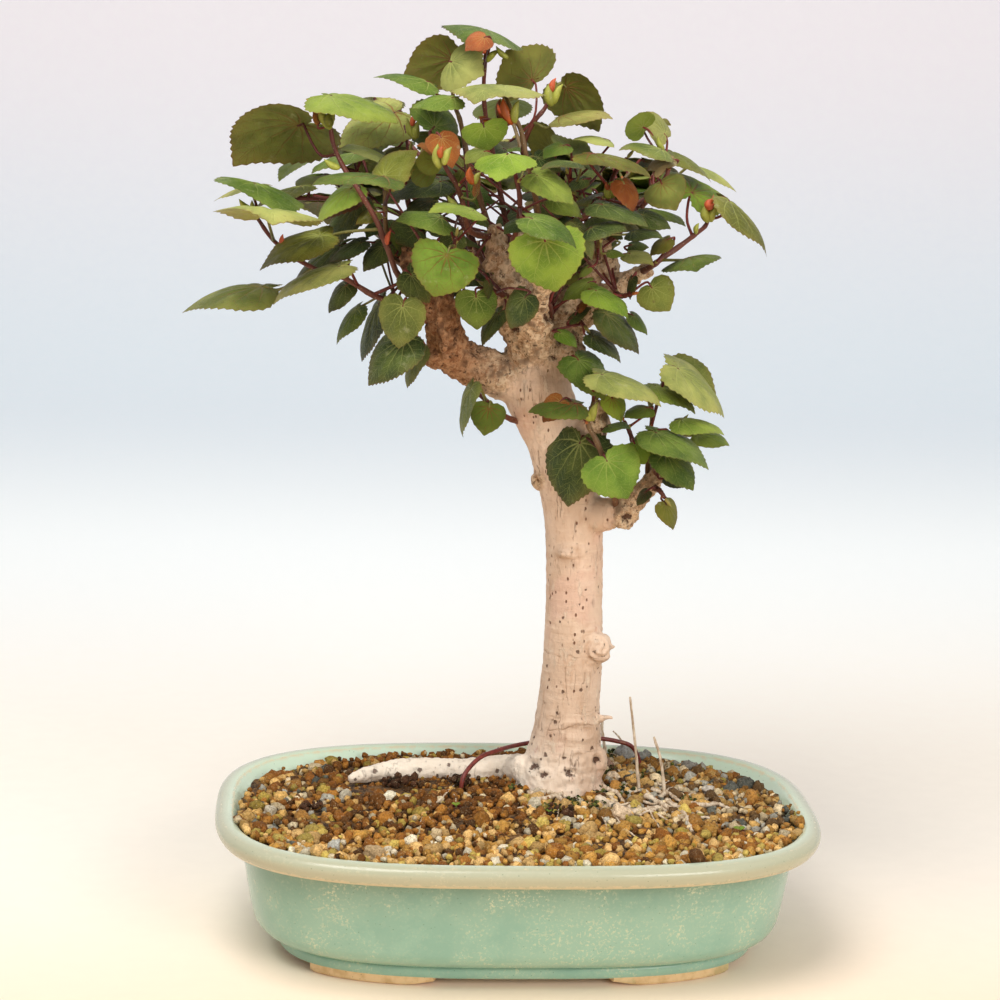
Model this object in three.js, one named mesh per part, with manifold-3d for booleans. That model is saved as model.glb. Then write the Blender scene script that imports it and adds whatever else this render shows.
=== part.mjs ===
// Sea hibiscus bonsai in a glazed oval pot. Millimetres, +Z up, +X to the right, +Y to the back.
// The pot stands on four feet. It holds the soil, and the tree stands in a plain hole in the soil.
import * as THREE from "three";
import { mergeVertices } from "three/addons/utils/BufferGeometryUtils.js";
import Module from "manifold-3d";

const wasm = await Module();
wasm.setup();

// Pot
const POT_LENGTH = 260;
const POT_DEPTH = 184.6;
const POT_HEIGHT = 60.3;
const PLAN_EXPONENT = 3.07;
const PLAN_POINTS = 30;
const FOOT_HEIGHT = 4;
const FLOOR_TOP = 11.5;
const FOOT_THICKNESS = 9;
const FOOT_RING_LENGTH = 206;
const DRAIN_RADIUS = 11;
const DRAIN_SPREAD = 46;
const SCREEN_SIDE = 32;
const SCREEN_THICKNESS = 1;
const SCREEN_HOLES = 2;
const SCREEN_BAR = 3;

// Soil and the tree's clearance in it
const GAP = 0.35;
const SOIL_EDGE = 54;
const SOIL_MOUND = 7.5;
const GRANULE = 9;
const SOIL_WALL_LOW = 25;
const SOIL_WALL_HIGH = 40;
const GRANULE_RELIEF = 1.5;

// Tree
const BARK_ROUGHNESS = 0.06;
const BLADE_THICKNESS = 1.2;
const PETIOLE_RADIUS = 0.75;
const STEM_BASE_RADIUS = 1.35;
const STEM_TIP_RADIUS = 0.85;
const LEAF_CLEARANCE = 0.4;
const LARGE_LEAF = 24;
const POINTS_AT_EYE = 0.6;
const SIMPLIFY = 0.15;

// The plan of the tree is drawn on a sheet of 1000 by 1000 squares, seen from one standpoint in front
// of the pot. A place on the sheet and a depth behind the pot's middle give a point in space.
const SHEET_MIDDLE = 500;
const EYE_X = -10.7;
const EYE_DISTANCE = 1080.4;
const EYE_HEIGHT = 402.1;
const EYE_PITCH = 0.191;
const EYE_ROLL = 0.028;
const EYE_FOCAL = 2586;
const POT_TURN = 0.073;

const materials = {
  glaze: new THREE.MeshStandardMaterial({ color: "#8fd2bd", roughness: 0.2, metalness: 0 }),
  soil: new THREE.MeshStandardMaterial({ color: "#8c6a3c", roughness: 0.95, metalness: 0 }),
  bark: new THREE.MeshStandardMaterial({ color: "#d9c0a0", roughness: 0.85, metalness: 0 }),
  deadwood: new THREE.MeshStandardMaterial({ color: "#a58f76", roughness: 0.9, metalness: 0 }),
  wire: new THREE.MeshStandardMaterial({ color: "#7a3a34", roughness: 0.45, metalness: 0.3 }),
  screen: new THREE.MeshStandardMaterial({ color: "#24302a", roughness: 0.6, metalness: 0 }),
  leaf: new THREE.MeshStandardMaterial({ color: "#4f7a36", roughness: 0.5, metalness: 0 }),
};

const tree = new THREE.Group();

// Seeded random numbers from 0 to 1
function randomSource(seed) {
  let state = seed;
  return () => {
    state = (state + 0x6d2b79f5) | 0;
    let t = Math.imul(state ^ (state >>> 15), 1 | state);
    t = (t + Math.imul(t ^ (t >>> 7), 61 | t)) ^ t;
    return ((t ^ (t >>> 14)) >>> 0) / 4294967296;
  };
}

// Geometry helpers
function toPotFrame(x, y, z) {
  const c = Math.cos(POT_TURN);
  const s = Math.sin(POT_TURN);
  return new THREE.Vector3(x * c + y * s, -x * s + y * c, z);
}

function sightLine(u, v) {
  const c = Math.cos(EYE_ROLL);
  const s = Math.sin(EYE_ROLL);
  const du = u - SHEET_MIDDLE;
  const dv = v - SHEET_MIDDLE;
  return { right: (du * c + dv * s) / EYE_FOCAL, up: (du * s - dv * c) / EYE_FOCAL };
}

// The point on the sight line through (u, v) that is depth behind the pot's middle
function at(u, v, depth) {
  const line = sightLine(u, v);
  const c = Math.cos(EYE_PITCH);
  const s = Math.sin(EYE_PITCH);
  const away = depth + EYE_DISTANCE;
  const rise = (away * (line.up * c - s)) / (c + line.up * s);
  const range = away * c - rise * s;
  return toPotFrame(EYE_X + range * line.right, depth, EYE_HEIGHT + rise);
}

// The point on the sight line through (u, v) at a height
function atHeight(u, v, height) {
  const line = sightLine(u, v);
  const c = Math.cos(EYE_PITCH);
  const s = Math.sin(EYE_PITCH);
  const rise = height - EYE_HEIGHT;
  const away = (rise * (c + line.up * s)) / (line.up * c - s);
  return at(u, v, away - EYE_DISTANCE);
}

function sheetScale(depth) {
  return (depth + EYE_DISTANCE) / EYE_FOCAL;
}

function towardsEye(point) {
  const eye = toPotFrame(EYE_X, -EYE_DISTANCE, EYE_HEIGHT);
  return eye.sub(point).normalize();
}

function solidOf(geometry) {
  const bare = geometry.clone();
  bare.deleteAttribute("normal");
  bare.deleteAttribute("uv");
  const merged = mergeVertices(bare, 1e-4);
  const vertProperties = new Float32Array(merged.attributes.position.array);
  const triVerts = new Uint32Array(merged.index.array);
  const solid = new wasm.Manifold(new wasm.Mesh({ numProp: 3, vertProperties, triVerts }));
  if (solid.volume() > 0) return solid;
  return new wasm.Manifold(new wasm.Mesh({ numProp: 3, vertProperties, triVerts: triVerts.reverse() }));
}

function geometryOf(solid) {
  const mesh = solid.getMesh();
  const geometry = new THREE.BufferGeometry();
  geometry.setAttribute("position", new THREE.BufferAttribute(mesh.vertProperties, 3));
  geometry.setIndex(new THREE.BufferAttribute(mesh.triVerts, 1));
  geometry.computeVertexNormals();
  return geometry;
}

function join(solids) {
  return wasm.Manifold.union(solids);
}

function largestBody(solid) {
  const bodies = solid.decompose();
  bodies.sort((a, b) => b.volume() - a.volume());
  return bodies[0];
}

function addNode(name, made, material) {
  const solid = made.simplify(SIMPLIFY);
  const mesh = new THREE.Mesh(geometryOf(solid), material);
  mesh.name = name;
  tree.add(mesh);
}

// A closed skin over rings of equal count, with a fan at each end
function loft(rings) {
  const count = rings[0].length;
  const last = rings.length - 1;
  const points = rings.flat();
  const indices = [];
  for (let r = 0; r < last; r += 1) {
    for (let k = 0; k < count; k += 1) {
      const a = r * count + k;
      const b = r * count + ((k + 1) % count);
      indices.push(a, b, b + count, a, b + count, a + count);
    }
  }
  const middle = (ring) => ring.reduce((sum, p) => sum.add(p), new THREE.Vector3()).divideScalar(count);
  const first = points.push(middle(rings[0])) - 1;
  const final = points.push(middle(rings[last])) - 1;
  for (let k = 0; k < count; k += 1) {
    const next = (k + 1) % count;
    indices.push(first, next, k, final, last * count + k, last * count + next);
  }
  const geometry = new THREE.BufferGeometry();
  geometry.setAttribute("position", new THREE.Float32BufferAttribute(points.flatMap((p) => p.toArray()), 3));
  geometry.setIndex(indices);
  return geometry;
}

// A round-sectioned limb through stations of { point, radius }, with seeded unevenness in its radius
function limb(stations, { sides = 8, steps = stations.length * 2, rough = 0, seed = 1, grow = 0 } = {}) {
  const path = new THREE.CatmullRomCurve3(stations.map((s) => s.point), false, "centripetal");
  const random = randomSource(seed);
  const rings = [];
  let side = new THREE.Vector3(1, 0.2, 0.1).normalize();
  for (let i = 0; i <= steps; i += 1) {
    const t = i / steps;
    const centre = path.getPoint(t);
    const along = path.getTangent(t);
    side = side.clone().addScaledVector(along, -side.dot(along)).normalize();
    const across = new THREE.Vector3().crossVectors(along, side);
    const place = t * (stations.length - 1);
    const low = Math.min(Math.floor(place), stations.length - 2);
    const radius = THREE.MathUtils.lerp(stations[low].radius, stations[low + 1].radius, place - low);
    const ring = [];
    for (let k = 0; k < sides; k += 1) {
      const angle = (k / sides) * 2 * Math.PI;
      const uneven = 1 + rough * (random() * 2 - 1);
      const reach = radius * uneven + grow;
      const spoke = side.clone().multiplyScalar(Math.cos(angle) * reach);
      ring.push(centre.clone().add(spoke).addScaledVector(across, Math.sin(angle) * reach));
    }
    rings.push(ring);
  }
  return solidOf(loft(rings));
}

function knob(point, radius, squash, grow) {
  const ball = new THREE.IcosahedronGeometry(radius + grow);
  ball.scale(1, 1, squash);
  ball.translate(point.x, point.y, point.z);
  return solidOf(ball);
}

// Plan outlines of the pot
function planPoint(halfLength, halfDepth, angle) {
  const power = 2 / PLAN_EXPONENT;
  const c = Math.cos(angle);
  const s = Math.sin(angle);
  const x = halfLength * Math.sign(c) * Math.abs(c) ** power;
  const y = halfDepth * Math.sign(s) * Math.abs(s) ** power;
  return new THREE.Vector2(x, y);
}

function planRing(halfLength, halfDepth, z) {
  const ring = [];
  for (let k = 0; k < PLAN_POINTS; k += 1) {
    const p = planPoint(halfLength, halfDepth, ((k + 0.5) / PLAN_POINTS) * 2 * Math.PI);
    ring.push(new THREE.Vector3(p.x, p.y, z));
  }
  return ring;
}

// Every ring is set in from the rim by one distance all round, so half depths follow from half lengths
const SHORTER_BY = (POT_LENGTH - POT_DEPTH) / 2;

// Half lengths of the pot's outside and inside at their heights, from the base over the lip to the floor
const POT_OUTSIDE = [
  [94, FOOT_HEIGHT - 0.6],
  [102.8, FOOT_HEIGHT - 0.6],
  [103.4, 7.8],
  [107.5, 9.6],
  [111.6, 12.6],
  [114.4, 20],
  [116.8, 34],
  [119.4, 50.3],
  [126.6, 51],
  [129.4, 53.6],
  [POT_LENGTH / 2, 56.4],
  [128.4, 59.2],
  [125, POT_HEIGHT],
];
const POT_INSIDE = [
  [122.8, 59.4],
  [120.2, 56],
  [115.6, 48],
  [111.8, 30],
  [107.6, 18],
  [98, FLOOR_TOP],
];

function outerRing([halfLength, z]) {
  return planRing(halfLength, halfLength - SHORTER_BY, z);
}

function innerRing([halfLength, z], clearance = 0) {
  return planRing(halfLength - clearance, halfLength - SHORTER_BY - clearance, z);
}

// A foot follows the foot ring between two lengths along the pot, with chamfered ends
const FOOT_INNER_X = 37.6;
const FOOT_OUTER_X = 88.5;
function footAngle(x) {
  return Math.acos((x / (FOOT_RING_LENGTH / 2)) ** (PLAN_EXPONENT / 2));
}

function foot() {
  const halfLength = FOOT_RING_LENGTH / 2;
  const halfDepth = halfLength - SHORTER_BY;
  const from = footAngle(FOOT_OUTER_X);
  const to = footAngle(FOOT_INNER_X);
  const steps = 5;
  const rings = [];
  for (let i = 0; i <= steps; i += 1) {
    const angle = from + ((to - from) * i) / steps;
    const outer = planPoint(halfLength, halfDepth, angle);
    const inner = planPoint(halfLength - FOOT_THICKNESS, halfDepth - FOOT_THICKNESS, angle);
    const bottom = i === steps ? FOOT_HEIGHT * 0.45 : 0;
    rings.push([
      new THREE.Vector3(outer.x, outer.y, bottom),
      new THREE.Vector3(outer.x, outer.y, FOOT_HEIGHT + 1),
      new THREE.Vector3(inner.x, inner.y, FOOT_HEIGHT + 1),
      new THREE.Vector3(inner.x, inner.y, bottom),
    ]);
  }
  return loft(rings);
}

function makePot() {
  const shell = loft([...POT_OUTSIDE.map(outerRing), ...POT_INSIDE.map((row) => innerRing(row))]);
  const feet = [];
  for (const flipX of [1, -1]) {
    for (const flipY of [1, -1]) {
      feet.push(solidOf(foot().scale(flipX, flipY, 1)));
    }
  }
  let pot = join([solidOf(shell), ...feet]);
  for (const side of [-1, 1]) {
    const drain = new THREE.CylinderGeometry(DRAIN_RADIUS, DRAIN_RADIUS, FLOOR_TOP * 3, 20);
    drain.rotateX(Math.PI / 2);
    drain.translate(side * DRAIN_SPREAD, 0, FLOOR_TOP);
    pot = pot.subtract(solidOf(drain));
  }
  return pot;
}

// A square plastic mesh over each drain hole, or the plain plate of room that it needs
function box(wide, deep, tall, x, y, z) {
  const block = new THREE.BoxGeometry(wide, deep, tall);
  block.translate(x, y, z + tall / 2);
  return solidOf(block);
}

function makeScreen(side) {
  const x = side * DRAIN_SPREAD;
  const z = FLOOR_TOP + GAP;
  const bars = [];
  for (let i = 0; i <= SCREEN_HOLES; i += 1) {
    const across = (i / SCREEN_HOLES - 0.5) * (SCREEN_SIDE - SCREEN_BAR);
    bars.push(box(SCREEN_BAR, SCREEN_SIDE, SCREEN_THICKNESS, x + across, 0, z));
    bars.push(box(SCREEN_SIDE, SCREEN_BAR, SCREEN_THICKNESS, x, across, z));
  }
  return join(bars);
}

function screenRoom(side) {
  const width = SCREEN_SIDE + 2 * GAP;
  return box(width, width, SCREEN_THICKNESS + 2 * GAP, side * DRAIN_SPREAD, 0, FLOOR_TOP);
}

// The trunk as left edge, right edge and height on the sheet, with its depth behind the pot's middle
const TRUNK_DEPTH = 21;
const TRUNK_EDGES = [
  [507, 608, 826],
  [510, 607, 800],
  [516, 605, 778],
  [525, 603, 755],
  [532, 602, 730],
  [537, 601, 700],
  [542, 603, 655],
  [545, 603, 605],
  [545, 604, 562],
  [544, 604, 532],
  [541, 601, 501],
  [533, 594, 463],
  [525, 588, 436],
  [513, 579, 412],
  [503, 572, 390],
  [503, 568, 362],
  [512, 568, 335],
];

// Limbs of the crown and the roots: places on the sheet, depth, and radius in millimetres
const LIMBS = {
  left: [
    [530, 386, 21, 11],
    [488, 371, 17, 9.6],
    [458, 358, 13, 8.8],
    [446, 340, 10, 8.2],
    [442, 314, 8, 8],
    [428, 287, 5, 6.4],
    [411, 266, 3, 4.2],
    [407, 246, 3, 2.8],
  ],
  centre: [
    [538, 372, 19, 11],
    [528, 335, 16, 10.6],
    [516, 300, 13, 10],
    [506, 272, 10, 7.6],
    [497, 246, 9, 5],
    [493, 225, 9, 2.6],
  ],
  centre_stub: [
    [508, 275, 9, 6],
    [518, 248, 5, 4],
    [523, 232, 3, 2.6],
  ],
  right: [
    [550, 362, 21, 10],
    [562, 322, 22, 8.2],
    [577, 290, 22, 7],
    [597, 262, 23, 5.2],
    [607, 240, 23, 2.8],
  ],
  far_right: [
    [556, 345, 22, 8],
    [586, 308, 21, 6.4],
    [612, 292, 19, 5],
    [632, 277, 17, 4],
    [651, 269, 16, 2.6],
  ],
  back_left: [
    [536, 350, 28, 9],
    [510, 305, 50, 6.8],
    [484, 272, 68, 4.8],
    [474, 244, 78, 2.8],
  ],
  back_right: [
    [548, 345, 28, 9],
    [560, 302, 52, 6.8],
    [580, 268, 70, 4.8],
    [592, 244, 80, 2.8],
  ],
  front: [
    [540, 352, 14, 9],
    [534, 315, -4, 6.2],
    [540, 286, -20, 4.4],
    [545, 264, -27, 2.8],
  ],
  lower_right: [
    [578, 514, 20, 9.5],
    [606, 514, 13, 7.4],
    [628, 504, 9, 6],
    [646, 488, 6, 4.6],
    [659, 474, 4, 3.8],
    [670, 459, 3, 2.4],
  ],
  dead_cone: [
    [580, 440, 16, 8],
    [596, 424, 9, 5.6],
    [599, 403, 7, 1.8],
  ],
};

// Swellings: burls, knots and the calloused head
const KNOBS = [
  [600, 645, 14, 5.4, 1.5],
  [572, 352, 14, 6.4, 1.2],
  [536, 481, 20, 3, 1],
  [622, 513, 10, 6.8, 0.95],
  [522, 769, 19, 5.6, 1.2],
  [436, 356, 10, 6.5, 0.9],
  [495, 262, 7, 4.6, 1.1],
  [566, 552, 9, 3.4, 0.6],
  [608, 265, 22, 5, 1.2],
];

const SURFACE_ROOT = [
  [530, 767, 7.4],
  [503, 769, 6.2],
  [475, 771, 5.5],
  [435, 770, 5.1],
  [397, 771, 4.9],
  [370, 774, 3.8],
  [349, 779, 1.5],
];
const ROOT_SINK = 0;
const BURIED_ROOTS = [
  [[560, 800, 12, 10], [556, 838, -8, 5], [552, 858, -22, 3]],
  [[570, 800, 26, 10], [600, 822, 46, 5], [625, 834, 60, 3]],
  [[585, 795, 18, 9], [630, 822, 8, 4.5], [655, 842, 0, 2.6]],
];

function stationsOf(rows) {
  return rows.map(([u, v, depth, radius]) => ({ point: at(u, v, depth), radius }));
}

function trunkStations() {
  return TRUNK_EDGES.map(([left, right, v]) => {
    const radius = ((right - left) / 2) * sheetScale(TRUNK_DEPTH);
    return { point: at((left + right) / 2, v, TRUNK_DEPTH), radius };
  });
}

function surfaceRootStations() {
  const stations = SURFACE_ROOT.map(([u, v, radius]) => {
    const height = SOIL_EDGE + SOIL_MOUND - radius * ROOT_SINK;
    return { point: atHeight(u, v, height), radius };
  });
  stations[0].point = at(548, 772, TRUNK_DEPTH);
  return stations;
}

function makeWood(grow = 0) {
  const parts = [];
  const bark = { rough: BARK_ROUGHNESS, grow };
  parts.push(limb(trunkStations(), { ...bark, sides: 12, steps: 18, seed: 11 }));
  parts.push(limb(surfaceRootStations(), { ...bark, sides: 7, steps: 9, seed: 12, rough: 0.12 }));
  Object.values(LIMBS).forEach((rows, i) => {
    const steps = rows.length;
    const sides = rows[0][3] > 9.5 ? 7 : 5;
    parts.push(limb(stationsOf(rows), { ...bark, sides, steps, seed: 20 + i, rough: 0.12 }));
  });
  BURIED_ROOTS.forEach((rows, i) => {
    parts.push(limb(stationsOf(rows), { ...bark, sides: 5, steps: 3, seed: 60 + i }));
  });
  for (const [u, v, depth, radius, squash] of KNOBS) {
    parts.push(knob(at(u, v, depth), radius, squash, grow));
  }
  return join(parts);
}

// Soil height over the plan: level at the wall, mounded round the trunk
const MOUND = at(560, 790, TRUNK_DEPTH);
function soilHeight(x, y) {
  const reach = ((x - MOUND.x + 12) / 88) ** 2 + ((y - MOUND.y) / 62) ** 2;
  return SOIL_EDGE + SOIL_MOUND * Math.exp(-reach);
}

// Granules as relief: a jittered lattice whose points stand at seeded heights
function granularBlock() {
  const random = randomSource(77);
  const columns = Math.round((POT_LENGTH - 20) / GRANULE);
  const rows = Math.round((POT_DEPTH - 14) / GRANULE);
  const points = [];
  const indices = [];
  for (let j = 0; j <= rows; j += 1) {
    for (let i = 0; i <= columns; i += 1) {
      const shift = j % 2 ? 0.25 : -0.25;
      const x = (i - columns / 2 + shift + (random() - 0.5) * 0.5) * GRANULE;
      const y = (j - rows / 2 + (random() - 0.5) * 0.5) * GRANULE;
      points.push(x, y, soilHeight(x, y) + (random() * 2 - 1) * GRANULE_RELIEF);
    }
  }
  const wide = columns + 1;
  for (let j = 0; j < rows; j += 1) {
    for (let i = 0; i < columns; i += 1) {
      const a = j * wide + i;
      const quad = [a, a + 1, a + wide + 1, a + wide];
      const cut = (i + j) % 2 ? [0, 1, 2, 0, 2, 3] : [0, 1, 3, 1, 2, 3];
      indices.push(...cut.map((c) => quad[c]));
    }
  }
  const rim = [];
  for (let i = 0; i < columns; i += 1) rim.push(i);
  for (let j = 0; j < rows; j += 1) rim.push(j * wide + columns);
  for (let i = columns; i > 0; i -= 1) rim.push(rows * wide + i);
  for (let j = rows; j > 0; j -= 1) rim.push(j * wide);
  const low = points.length / 3;
  for (const k of rim) points.push(points[k * 3], points[k * 3 + 1], 0);
  const hub = points.push(0, 0, 0) / 3 - 1;
  rim.forEach((a, k) => {
    const next = (k + 1) % rim.length;
    indices.push(a, low + k, low + next, a, low + next, rim[next], hub, low + next, low + k);
  });
  const geometry = new THREE.BufferGeometry();
  geometry.setAttribute("position", new THREE.Float32BufferAttribute(points, 3));
  geometry.setIndex(indices);
  return solidOf(geometry);
}

function soilCup() {
  const floor = FLOOR_TOP + GAP;
  const rows = POT_INSIDE.filter(([, z]) => z < SOIL_WALL_LOW || z > SOIL_WALL_HIGH).reverse();
  const rings = rows.map(([halfLength, z]) => innerRing([halfLength, Math.max(z, floor)], GAP));
  return solidOf(loft(rings));
}

// Roots over the soil, dead twigs and the anchor wire
const RIGHT_ROOT_RISE = 0.6;
const RIGHT_ROOT = [
  [598, 800, 2.6],
  [614, 807, 2],
  [633, 812, 1.6],
  [658, 809, 1.5],
  [671, 811, 1.4],
  [684, 820, 1.2],
  [693, 828, 0.8],
];
const DEAD_TWIGS = {
  dead_twig_tall: [[640, 802, 20, 0.9], [638, 778, 20, 0.8], [636, 753, 20, 0.7], [630, 697, 20, 0.5]],
  dead_twig_short: [[664, 810, 13, 0.9], [664, 787, 13, 0.8], [660, 757, 13, 0.7], [654, 737, 13, 0.5]],
};
const WIRE_RADIUS = 1;
const WIRE = [
  [460, 801, 10],
  [463, 778, 11],
  [470, 767, 15],
  [481, 757, 20],
  [496, 751, 26],
  [513, 746, 36],
  [535, 742, 46],
  [562, 740, 56],
  [592, 738, 58],
  [616, 741, 61],
  [631, 746, 62.5],
  [638, 757, 63.5],
  [640, 786, 64],
];

function makeRightRoot(grow = 0) {
  const stations = RIGHT_ROOT.map(([u, v, radius]) => {
    const { x, y } = atHeight(u, v, SOIL_EDGE + SOIL_MOUND / 2);
    return { point: atHeight(u, v, soilHeight(x, y) + RIGHT_ROOT_RISE), radius };
  });
  return limb(stations, { sides: 6, steps: 9, rough: 0.15, seed: 91, grow });
}

function makeTwig(rows, grow = 0) {
  return limb(stationsOf(rows), { sides: 5, steps: 5, rough: 0.1, seed: 93, grow });
}

function makeWire(grow = 0) {
  const stations = WIRE.map(([u, v, depth]) => ({ point: at(u, v, depth), radius: WIRE_RADIUS }));
  return limb(stations, { sides: 5, steps: 17, grow });
}

// Half outline of a heart-shaped leaf: angle from the tip in degrees, and reach as a share of the length
const LARGE_OUTLINE = [
  [180, 0.07],
  [163, 0.32],
  [144, 0.43],
  [124, 0.47],
  [104, 0.54],
  [84, 0.56],
  [64, 0.65],
  [46, 0.66],
  [29, 0.78],
  [13, 0.85],
  [0, 1],
];
const SMALL_OUTLINE = [
  [180, 0.07],
  [148, 0.4],
  [115, 0.48],
  [84, 0.59],
  [54, 0.63],
  [24, 0.8],
  [0, 1],
];
const OUTLINE_WIDTH = 1.13;
const LARGE_MIDRIB = [0, 0.3, 0.58, 0.82];
const SMALL_MIDRIB = [0, 0.35, 0.72];
const BLADE_ARCH = 0.3;
const BLADE_SIDE_DROOP = 0.35;

// One leaf as a closed skin. The blade has the base and tip of its midrib, the way its upper face looks
// and its full width. The three-sided stalk runs back from the notch of the blade through its points.
function makeLeaf(base, tip, facing, width, stalkPoints = []) {
  const length = base.distanceTo(tip);
  const along = tip.clone().sub(base).normalize();
  const up = facing.clone().addScaledVector(along, -facing.dot(along)).normalize();
  const across = new THREE.Vector3().crossVectors(along, up);
  const outline = length > LARGE_LEAF ? LARGE_OUTLINE : SMALL_OUTLINE;
  const midrib = length > LARGE_LEAF ? LARGE_MIDRIB : SMALL_MIDRIB;
  const sideScale = width / (OUTLINE_WIDTH * length);
  const points = [];
  const add = (point) => points.push(point) - 1;
  const placeOn = (a, b, lift) => {
    const arch = (BLADE_ARCH * a * (length - a)) / length;
    const droop = (BLADE_SIDE_DROOP * b * b) / width;
    const p = base.clone().addScaledVector(along, a).addScaledVector(across, b);
    return p.addScaledVector(up, arch - droop + lift);
  };
  const edge = outline.map(([degrees, reach]) => {
    const angle = THREE.MathUtils.degToRad(degrees);
    return { a: Math.cos(angle) * reach * length, b: Math.sin(angle) * reach * length * sideScale };
  });

  const stalkRing = (centre, forward, side) => {
    const rise = new THREE.Vector3().crossVectors(side, forward);
    const low = centre.clone().addScaledVector(rise, -0.6 * PETIOLE_RADIUS);
    return [
      add(centre.clone().addScaledVector(rise, 0.8 * PETIOLE_RADIUS)),
      add(low.clone().addScaledVector(side, PETIOLE_RADIUS)),
      add(low.clone().addScaledVector(side, -PETIOLE_RADIUS)),
    ];
  };
  const notch = placeOn(edge[0].a, 0, 0);
  const rings = [stalkRing(notch, along, across)];
  let side = across;
  stalkPoints.forEach((point, i) => {
    const before = i ? stalkPoints[i - 1] : notch;
    const after = stalkPoints[i + 1] ?? point;
    const forward = before.clone().sub(after).normalize();
    side = side.clone().addScaledVector(forward, -side.dot(forward)).normalize();
    rings.push(stalkRing(point, forward, side));
  });

  const inner = edge.slice(1, -1);
  const end = add(placeOn(length, 0, 0));
  const right = [rings[0][1], ...inner.map(({ a, b }) => add(placeOn(a, b, 0))), end];
  const left = [rings[0][2], ...inner.map(({ a, b }) => add(placeOn(a, -b, 0))), end];
  const top = midrib.map((m) => add(placeOn(m * length, 0, BLADE_THICKNESS / 2)));
  const under = midrib.map((m) => add(placeOn(m * length, 0, -BLADE_THICKNESS / 2)));

  const indices = [];
  const face = (a, b, c, flip) => indices.push(...(flip ? [a, c, b] : [a, b, c]));
  for (const [chain, isLeft] of [[right, false], [left, true]]) {
    let j = 0;
    const advance = (rim) => {
      face(top[j], rim, top[j + 1], isLeft);
      face(under[j], rim, under[j + 1], !isLeft);
      j += 1;
    };
    const last = midrib.length - 1;
    for (let i = 0; i < chain.length - 1; i += 1) {
      while (j < last && edge[i].a > ((midrib[j] + midrib[j + 1]) / 2) * length) advance(chain[i]);
      face(top[j], chain[i], chain[i + 1], isLeft);
      face(under[j], chain[i], chain[i + 1], !isLeft);
    }
    while (j < last) advance(end);
  }
  const [crest, lowRight, lowLeft] = rings[0];
  indices.push(top[0], crest, lowRight, top[0], lowLeft, crest, under[0], lowRight, lowLeft);
  for (let r = 1; r < rings.length; r += 1) {
    const [a, b, c] = rings[r - 1];
    const [d, e, f] = rings[r];
    indices.push(b, a, d, b, d, e, c, b, e, c, e, f, a, c, f, a, f, d);
  }
  const [topLast, rightLast, leftLast] = rings[rings.length - 1];
  indices.push(rightLast, topLast, leftLast);

  const geometry = new THREE.BufferGeometry();
  geometry.setAttribute("position", new THREE.Float32BufferAttribute(points.flatMap((p) => p.toArray()), 3));
  geometry.setIndex(indices);
  return solidOf(geometry);
}

// The rounded volumes that the foliage fills: middle and half sizes on the sheet, middle and half depth
const ZONES = {
  crown: { u: 485, v: 200, wide: 285, tall: 195, depth: 18, half: 90 },
  tier: { u: 635, v: 440, wide: 95, tall: 80, depth: 4, half: 38 },
  trunk: { u: 490, v: 420, wide: 60, tall: 60, depth: 12, half: 20 },
};

// A depth from how far forward a place lies in its volume: 1 is the front of it, -1 the back
function depthIn(zone, u, v, forward) {
  const across = ((u - zone.u) / zone.wide) ** 2;
  const upward = ((v - zone.v) / zone.tall) ** 2;
  return zone.depth - forward * zone.half * Math.sqrt(Math.max(0.05, 1 - across - upward));
}

// Leafy shoots. A shoot has a foot in the wood (sheet place and depth), a stem (sheet places and how far
// forward), and leaves. A leaf has the sheet places of its base and its tip, how far forward its base
// lies, how much deeper its tip lies in millimetres, and its width on the sheet as it is seen. More may
// follow: places that its stalk passes, the step on the sheet from its midrib to its side edge, and
// under: true for one that shows its lower face to the front.
const leaf = (base, tip, forward, lean, width, more = {}) => ({ base, tip, forward, lean, width, ...more });

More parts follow.
